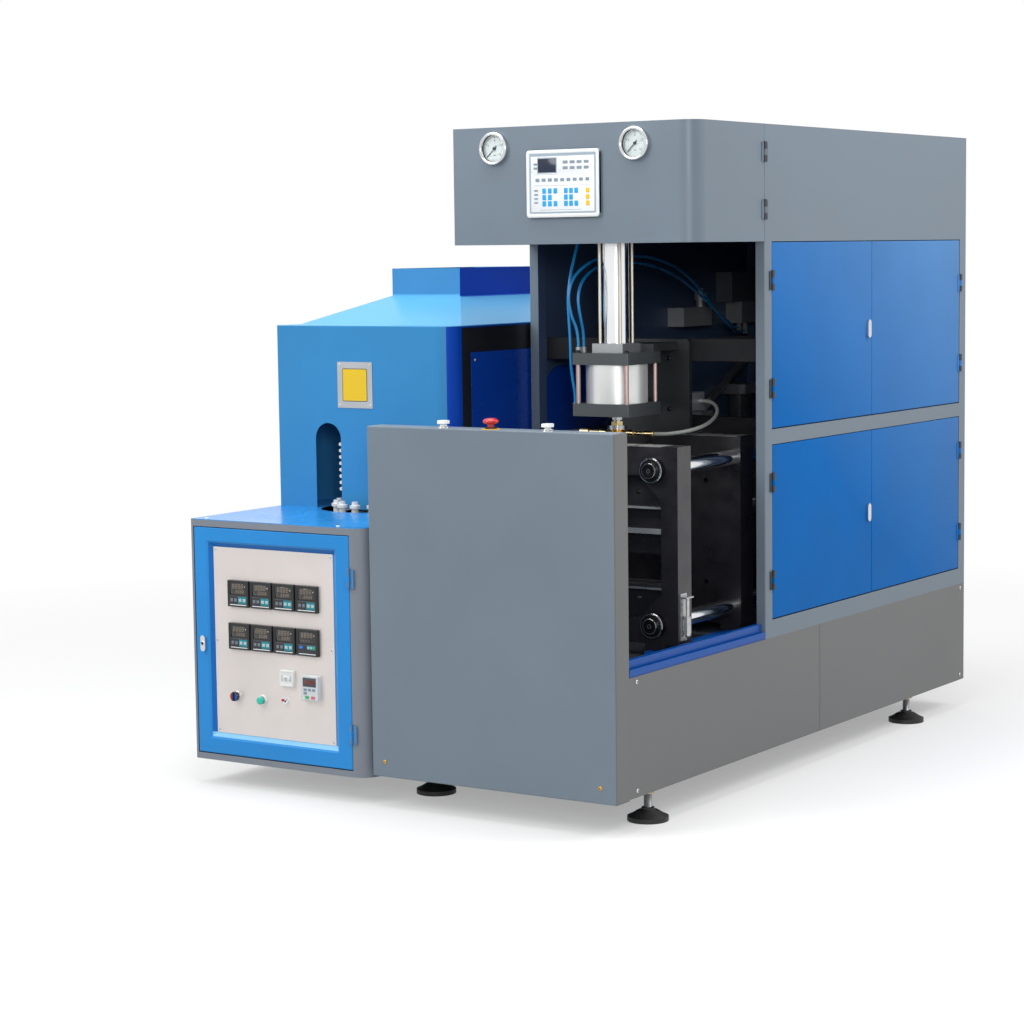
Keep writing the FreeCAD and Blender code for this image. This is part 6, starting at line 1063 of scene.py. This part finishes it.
        plate(0, 15.5, 44, 24, 1, 0.7)
        plate(0, 16, 34, 14, 2, 0.9)
        for k in range(4):
            for bar in segments(9):
                piece.rows(stacked(moved(bar, -12 + 8 * k, 16), [(0, 0.85), (0, 1.0)], centre, FRONT), 3)
        for k in range(3):
            plate(-14 + 14 * k, -4.5, 9.5, 6.5, 4, 1.9)
        plate(-14, -14, 9.5, 6.5, 4, 1.9)
        plate(-8, -25, 13, 7.5, 5, 1.9)
        plate(12, -25, 13, 7.5, 6, 1.9)
        piece.make()


class MACHINE_OT_hand_controls(bpy.types.Operator):
    """Selector face, button rings, toggle tip, start buttons and the red mushroom button"""
    bl_idname = "machine.hand_controls"
    bl_label = "Hand controls"

    def execute(self, context):
        chrome = small("chromed control ring", "d6d8da", 0.14, 0.03, 0.03, metallic=1.0)
        red = small("red enamel filling", "b3232b", 0.3, 0.05, 0.04)
        blue = small("blue enamel filling", "1f4fae", 0.3, 0.05, 0.04)
        white = small("white nylon ring", "e6e9ea", 0.34, 0.03, 0.05)
        black = small("black nylon ring", "18191c", 0.4, 0.04, 0.08)
        amber = small("amber label", "e8b21c", 0.4, 0.04, 0.04)
        rings = Piece("control_rings", "cabinet_door", chrome, white)
        ring = [(14.6, 0.0), (14.6, 3.2), (13.9, 4.6), (12.6, 5.4), (11.6, 5.4), (11.2, 5.0)]
        rings.rows(lathe(ring, on_panel(SELECTOR, 11), FORWARD, 48), 0, closed=False)
        rings.rows(lathe(ring, on_panel(RUN, 11), FORWARD, 48), 1, closed=False)
        collar = [(10.2, 0.0), (10.2, 1.4), (9.0, 1.8), (9.0, 4.2), (7.6, 4.8), (4.2, 4.8), (4.0, 4.0)]
        rings.rows(lathe(collar, on_panel(TOGGLE, 11), FORWARD, 6), 0, closed=False)
        rings.make()
        # Selector: two enamel fields either side of the grip
        selector = Piece("selector_face", "selector_knob", red, blue)
        half = np.linspace(-math.pi / 2, math.pi / 2, 20)
        sector = np.stack([3.6 + 8.2 * np.cos(half), 10.2 * np.sin(half)], axis=1)
        selector.rows(stacked(sector, [(0, 0), (0, 0.25)], on_panel(SELECTOR, -4.5), FRONT), 1)
        selector.rows(stacked(sector * (-1, -1), [(0, 0), (0, 0.25)], on_panel(SELECTOR, -4.5), FRONT), 0)
        selector.make()
        # Cabinet latch: raised rim, and a flat black disc standing for the key hole as painted shade
        latch = Piece("latch_lock", "cabinet_latch", chrome, black)
        rim = [(6.6, 0.0), (6.6, 1.0), (5.9, 1.6), (4.6, 1.6), (4.4, 0.5)]
        latch.rows(lathe(rim, LATCH, FORWARD, 32), 0, closed=False)
        # The key hole is a flat disc of the black nylon material: painted shade of the hole
        latch.rows(lathe([(4.5, 0.0), (4.5, 0.55)], LATCH, FORWARD, 32), 1)
        latch.make()
        # Green button: domed cap
        dome = Piece("run_button_dome", "run_button", small("domed green cap", "12bda4", 0.22, 0.04, 0.03, coat=0.4))
        dome.rows(lathe([(10.2, -6.0), (10.2, -1.6), (9.4, -0.4), (8.0, 0.15), (5.0, 0.6), (2.0, 0.8), (0.5, 0.85)],
                        on_panel(RUN, -5.0), FORWARD, 40))
        dome.make()
        # Toggle: sleeve in red and white over the lever's end
        tilt = math.radians(14.0)
        along = (0, -math.cos(tilt), math.sin(tilt))
        foot = on_panel(TOGGLE, 13.0)
        tip = Piece("toggle_sleeve", "toggle_lever", red, white)
        tip.rows(lathe([(1.9, 8.0), (2.6, 8.4), (3.0, 11.0), (3.2, 13.0)], foot, along, 24), 1)
        end = [(3.25, 13.0), (3.6, 16.0), (3.7, 18.5), (3.0, 20.6), (1.4, 21.6), (0.4, 21.8)]
        tip.rows(lathe(end, foot, along, 24), 0)
        tip.make()
        self.cover_buttons(chrome, black, amber)
        return {"FINISHED"}

    def cover_buttons(self, chrome, black, amber):
        """Dished caps, knurled collars and the yellow disc under the red mushroom."""
        collars = Piece("start_collars", "root", chrome, black, amber)
        knurl = np.tile([(1.0, 1.0), (0.955, 0.955)], (30, 1))
        for x in START_X:
            collar = [(15.3, 0), (15.3, 1.0), (14.8, 4.6), (14.0, 5.3), (11.6, 5.3), (9.0, 5.1)]
            rows = lathe(collar, (x, *MUSHROOM[1:]), UPWARD, 60)
            middle = np.array((x, MUSHROOM[1]))
            rows[1:3, :, :2] = middle + (rows[1:3, :, :2] - middle) * knurl
            collars.rows(rows, 0, closed=False)
        disc = [(24.0, 0), (24.0, 1.0), (23.4, 1.4), (9.0, 1.4)]
        sleeve = [(15.4, 1.0), (15.4, 4.6), (14.6, 5.4), (9.0, 5.3)]
        collars.rows(lathe(disc, MUSHROOM, UPWARD, 60), 2, closed=False)
        collars.rows(lathe(sleeve, MUSHROOM, UPWARD, 60), 1, closed=False)
        collars.make()
        cap_white = small("dished white cap", "eef1f2", 0.25, 0.03, 0.03, coat=0.2)
        for side, x in zip(("left", "right"), START_X):
            cap = Piece(f"start_cap_{side}", f"start_button_{side}", cap_white)
            outline = rounded_rectangle(24.4, 24.4, 2.6, 6)
            rows = [stacked(outline * (1 - inset / 12.2), [(0, lift)], (x, 25, 1015), TOP)[0] for inset, lift in
                    ((0, 0), (0, 7.0), (0.5, 8.3), (1.6, 8.8), (3.0, 8.6), (6.0, 7.9), (10.0, 7.6))]
            cap.rows(np.array(rows))
            cap.make()
        mushroom = Piece("emergency_cap", "emergency_button",
                         small("domed red cap", "c8141d", 0.2, 0.04, 0.03, coat=0.4),
                         small("white arrow print", "e9e4e2", 0.4, 0.03, 0.04))
        mushroom.rows(lathe([(13.8, 13.8), (16.0, 14.2), (19.4, 17.0), (20.4, 19.4), (20.2, 21.6), (18.0, 24.2),
                             (14.8, 26.2), (10.0, 27.6), (5.0, 28.3), (0.6, 28.5)], MUSHROOM, UPWARD, 60), 0)
        mushroom.make()


# ---------------------------------------------------------------- fasteners and working parts
class MACHINE_OT_fasteners(bpy.types.Operator):
    """Cross-slotted screws, rivets, socket bolts and tie bar nuts"""
    bl_idname = "machine.fasteners"
    bl_label = "Fasteners"

    def execute(self, context):
        steel = small("zinc plated screw", "c9cbcc", 0.26, 0.1, 0.08, metallic=0.95, cloud_mm=8)
        brass = small("brass screw", "cfa34c", 0.24, 0.1, 0.06, metallic=1.0, cloud_mm=8)
        white = small("nylon screw cap", "e8ebec", 0.35, 0.03, 0.05)
        black = small("black oxide bolt", "26272a", 0.38, 0.08, 0.1, metallic=0.7, cloud_mm=8)
        # Each head's cross recess is a dark flat cross on the dome: painted shade of the recess
        recess_shade = small("painted shade of screw recess", "1a1a1b", 0.5, 0.05, 0.1, metallic=0.5)
        self.screws("cover_screws", "root", brass, recess_shade, [((x, 0, 123), FORWARD) for x in (39, 701)], 5.4, 2.8)
        self.screws("side_screws", "root", steel, recess_shade,
                    [((749, y, z), (1, 0, 0)) for y in (100, 2094) for z in (379, 104)], 5.4, 2.8)
        self.screws("top_screws", "root", white, recess_shade, [((x, 20, 735), UPWARD) for x in (-565, -115)], 5.4, 2.8)
        self.screws("panel_corner_screws", "cabinet_door", steel, recess_shade,
                    [((x, 11, z), FORWARD) for x in (-529, -136) for z in (155, 403, 652)], 3.2, 1.6)
        self.screws("bracket_bolts", "root", black, recess_shade,
                    [((x, 817, z), FORWARD) for x in (314, 436) for z in (1011, 1151)], 7.0, 5.0)
        self.screws("cylinder_head_bolts", "root", black, recess_shade,
                    [((x, y, 1175), UPWARD) for x, y in round_stack(76)], 8.0, 7.0)
        self.screws("stretch_cap_bolts", "root", steel, recess_shade,
                    [((x, y, 1714), UPWARD) for x, y in round_stack(32)], 5.0, 4.0)
        self.rivets(steel)
        self.bar_nuts()
        return {"FINISHED"}

    def screws(self, name, body, material, recess, places, radius, height):
        """Domed heads with a cross recess, drawn as a dark cross standing on the dome as painted shade: the dome is a
        quarter of an ellipse.
        """
        piece = Piece(name, body, material, recess)
        turn = np.linspace(0, np.pi / 2, 6)
        dome = [(radius, 0.0), *zip(radius * np.cos(turn * 0.92), height * 0.35 + height * 0.65 * np.sin(turn))]
        for place, out in places:
            piece.rows(lathe(dome, place, out, 24))
            axis = Vector(out)
            across = axis.orthogonal().normalized()
            side = (across, axis.cross(across), axis)
            for size in ((radius * 1.15, radius * 0.24), (radius * 0.24, radius * 1.15)):
                piece.rows(stacked(rectangle(*size), [(0, height * 0.86), (0, height * 1.01)], place, side), 1)
        piece.make()

    def rivets(self, steel):
        """Domed rivets of the data plate, and its plain yellow field in a thin frame."""
        yellow = small("yellow printed field", "e9c11e", 0.4, 0.04, 0.05)
        edge = small("engraved plate edge", "4a4d52", 0.4, 0.05, 0.08, metallic=0.6)
        piece = Piece("data_plate_face", "root", steel, yellow, edge)
        turn = np.linspace(0, np.pi / 2, 6)
        dome = [(3.4, -0.2), *zip(3.4 * np.cos(turn * 0.95), 1.8 * np.sin(turn))]
        for x, z in RIVETS:
            piece.rows(lathe(dome, (x, 391.5, z), FORWARD, 20))
        centre = (-330.5, 391.5, 1084.5)
        piece.rows(stacked(rounded_rectangle(86, 92, 4, 5), [(0, 0), (0, 0.3)], centre, FRONT), 2)
        piece.rows(stacked(rounded_rectangle(82, 88, 3, 5), [(0, 0.3), (0, 0.55)], centre, FRONT), 1)
        piece.make()

    def bar_nuts(self):
        """Round tie bar nuts: turned groove, spanner slots, chromed bar end with its centre hole, whose depth is a
        dark disc of painted shade.
        """
        black = small("blackened steel nut", "1d1d20", 0.34, 0.1, 0.1, metallic=0.7, cloud_mm=20)
        chrome = small("faced chrome bar end", "dadcde", 0.12, 0.03, 0.03, metallic=1.0)
        dark = small("centre hole", "0e0e10", 0.6, 0.05, 0.1, metallic=0.3)
        piece = Piece("tie_bar_nut_rims", "clamp_frame", black, chrome, dark)
        rim = [(33.2, -21.8), (33.5, -21.0), (33.5, -2.4), (31.6, 0.2), (30.2, 0.4), (29.6, -0.2),
               (24.6, -0.2), (24.0, 0.4), (22.8, 0.4), (22.4, 0.0)]
        end = [(20.15, 0.2), (20.15, 6.6), (18.8, 8.15), (7.0, 8.3), (4.4, 7.6)]
        rings = ((rim[:3], 60, 0), (rim[2:6], 60, 1), (rim[5:], 60, 0), (end[:3], 48, 1), (end[2:], 48, 0))
        for x in (STACK[0] - 254, STACK[0] + 254):
            for z in (475, 881):    # rows of the tie bars
                for profile, points, number in rings:
                    piece.rows(lathe(profile, (x, 376, z), FORWARD, points), number, closed=False)
                # The centre hole is a flat dark disc on the bar end: painted shade of the hole
                piece.rows(lathe([(4.3, 8.0), (4.3, 8.08)], (x, 376, z), FORWARD, 24), 2)
        piece.make()


class MACHINE_OT_foot_pads(bpy.types.Operator):
    """Ribbed rubber rims under the levelling feet and the studs' threads"""
    bl_idname = "machine.foot_pads"
    bl_label = "Levelling feet"

    def execute(self, context):
        rubber = finish("ribbed foot rubber", "19191b", roughness=0.55, cloud=0.1, cloud_mm=30, grain_mm=1.5,
                        grain=0.25)
        steel = small("rolled zinc thread", "b4b6b8", 0.32, 0.08, 0.08, metallic=0.9, cloud_mm=10)
        piece = Piece("foot_rims", "root", rubber, steel)
        rim = [(51.5, 0.05), (53.4, 1.5), (53.4, 4.6), (52.6, 5.2), (52.6, 6.2), (53.4, 6.8), (53.4, 10.8),
               (51.6, 12.6), (47.0, 13.6), (30.0, 24.8), (25.0, 27.2)]
        thread_z = np.arange(34.4, 70.0, 1.25)
        for x, y, top in FEET:
            piece.rows(lathe(rim, (x, y, 0), UPWARD, 56), 0, closed=False)
            heights = thread_z[thread_z < top - 14]
            profile = [(10.1 + 0.75 * (k % 2), z) for k, z in enumerate(heights)]
            piece.rows(lathe(profile, (x, y, 0), UPWARD, 28), 1, closed=False)
        piece.make()
        return {"FINISHED"}


# ---------------------------------------------------------------- list of the add-on's parts
STEPS = ("studio", "air_lines", "sheet_finishes", "metal_finishes", "gauges", "keypad", "controllers",
         "hand_controls", "fasteners", "foot_pads")


class MACHINE_PT_parts(bpy.types.Panel):
    """Machine's parts in the 3D view's sidebar"""
    bl_idname = "MACHINE_PT_parts"
    bl_label = "Blow moulding machine"
    bl_space_type = "VIEW_3D"
    bl_region_type = "UI"
    bl_category = "Machine"

    def draw(self, context):
        for group in (context.scene.machine_paint, context.scene.machine_instruments, context.scene.machine_studio):
            fold = self.layout.box()
            for name in group.bl_rna.properties.keys():
                if name not in {"name", "rna_type"}:
                    fold.prop(group, name)
        for step in STEPS:
            self.layout.operator("machine." + step)


CLASSES = (MachinePaint, MachineInstruments, MachineStudio, MACHINE_OT_studio, MACHINE_OT_air_lines,
           MACHINE_OT_sheet_finishes, MACHINE_OT_metal_finishes, MACHINE_OT_gauges, MACHINE_OT_keypad,
           MACHINE_OT_controllers, MACHINE_OT_hand_controls, MACHINE_OT_fasteners, MACHINE_OT_foot_pads,
           MACHINE_PT_parts)


def register():
    for kind in CLASSES:
        bpy.utils.register_class(kind)
    bpy.types.Scene.machine_paint = bpy.props.PointerProperty(type=MachinePaint)
    bpy.types.Scene.machine_instruments = bpy.props.PointerProperty(type=MachineInstruments)
    bpy.types.Scene.machine_studio = bpy.props.PointerProperty(type=MachineStudio)


def unregister():
    del bpy.types.Scene.machine_paint
    del bpy.types.Scene.machine_instruments
    del bpy.types.Scene.machine_studio
    for kind in reversed(CLASSES):
        bpy.utils.unregister_class(kind)


def main():
    register()
    for step in STEPS:
        getattr(bpy.ops.machine, step)()


if __name__ == "__main__":
    main()
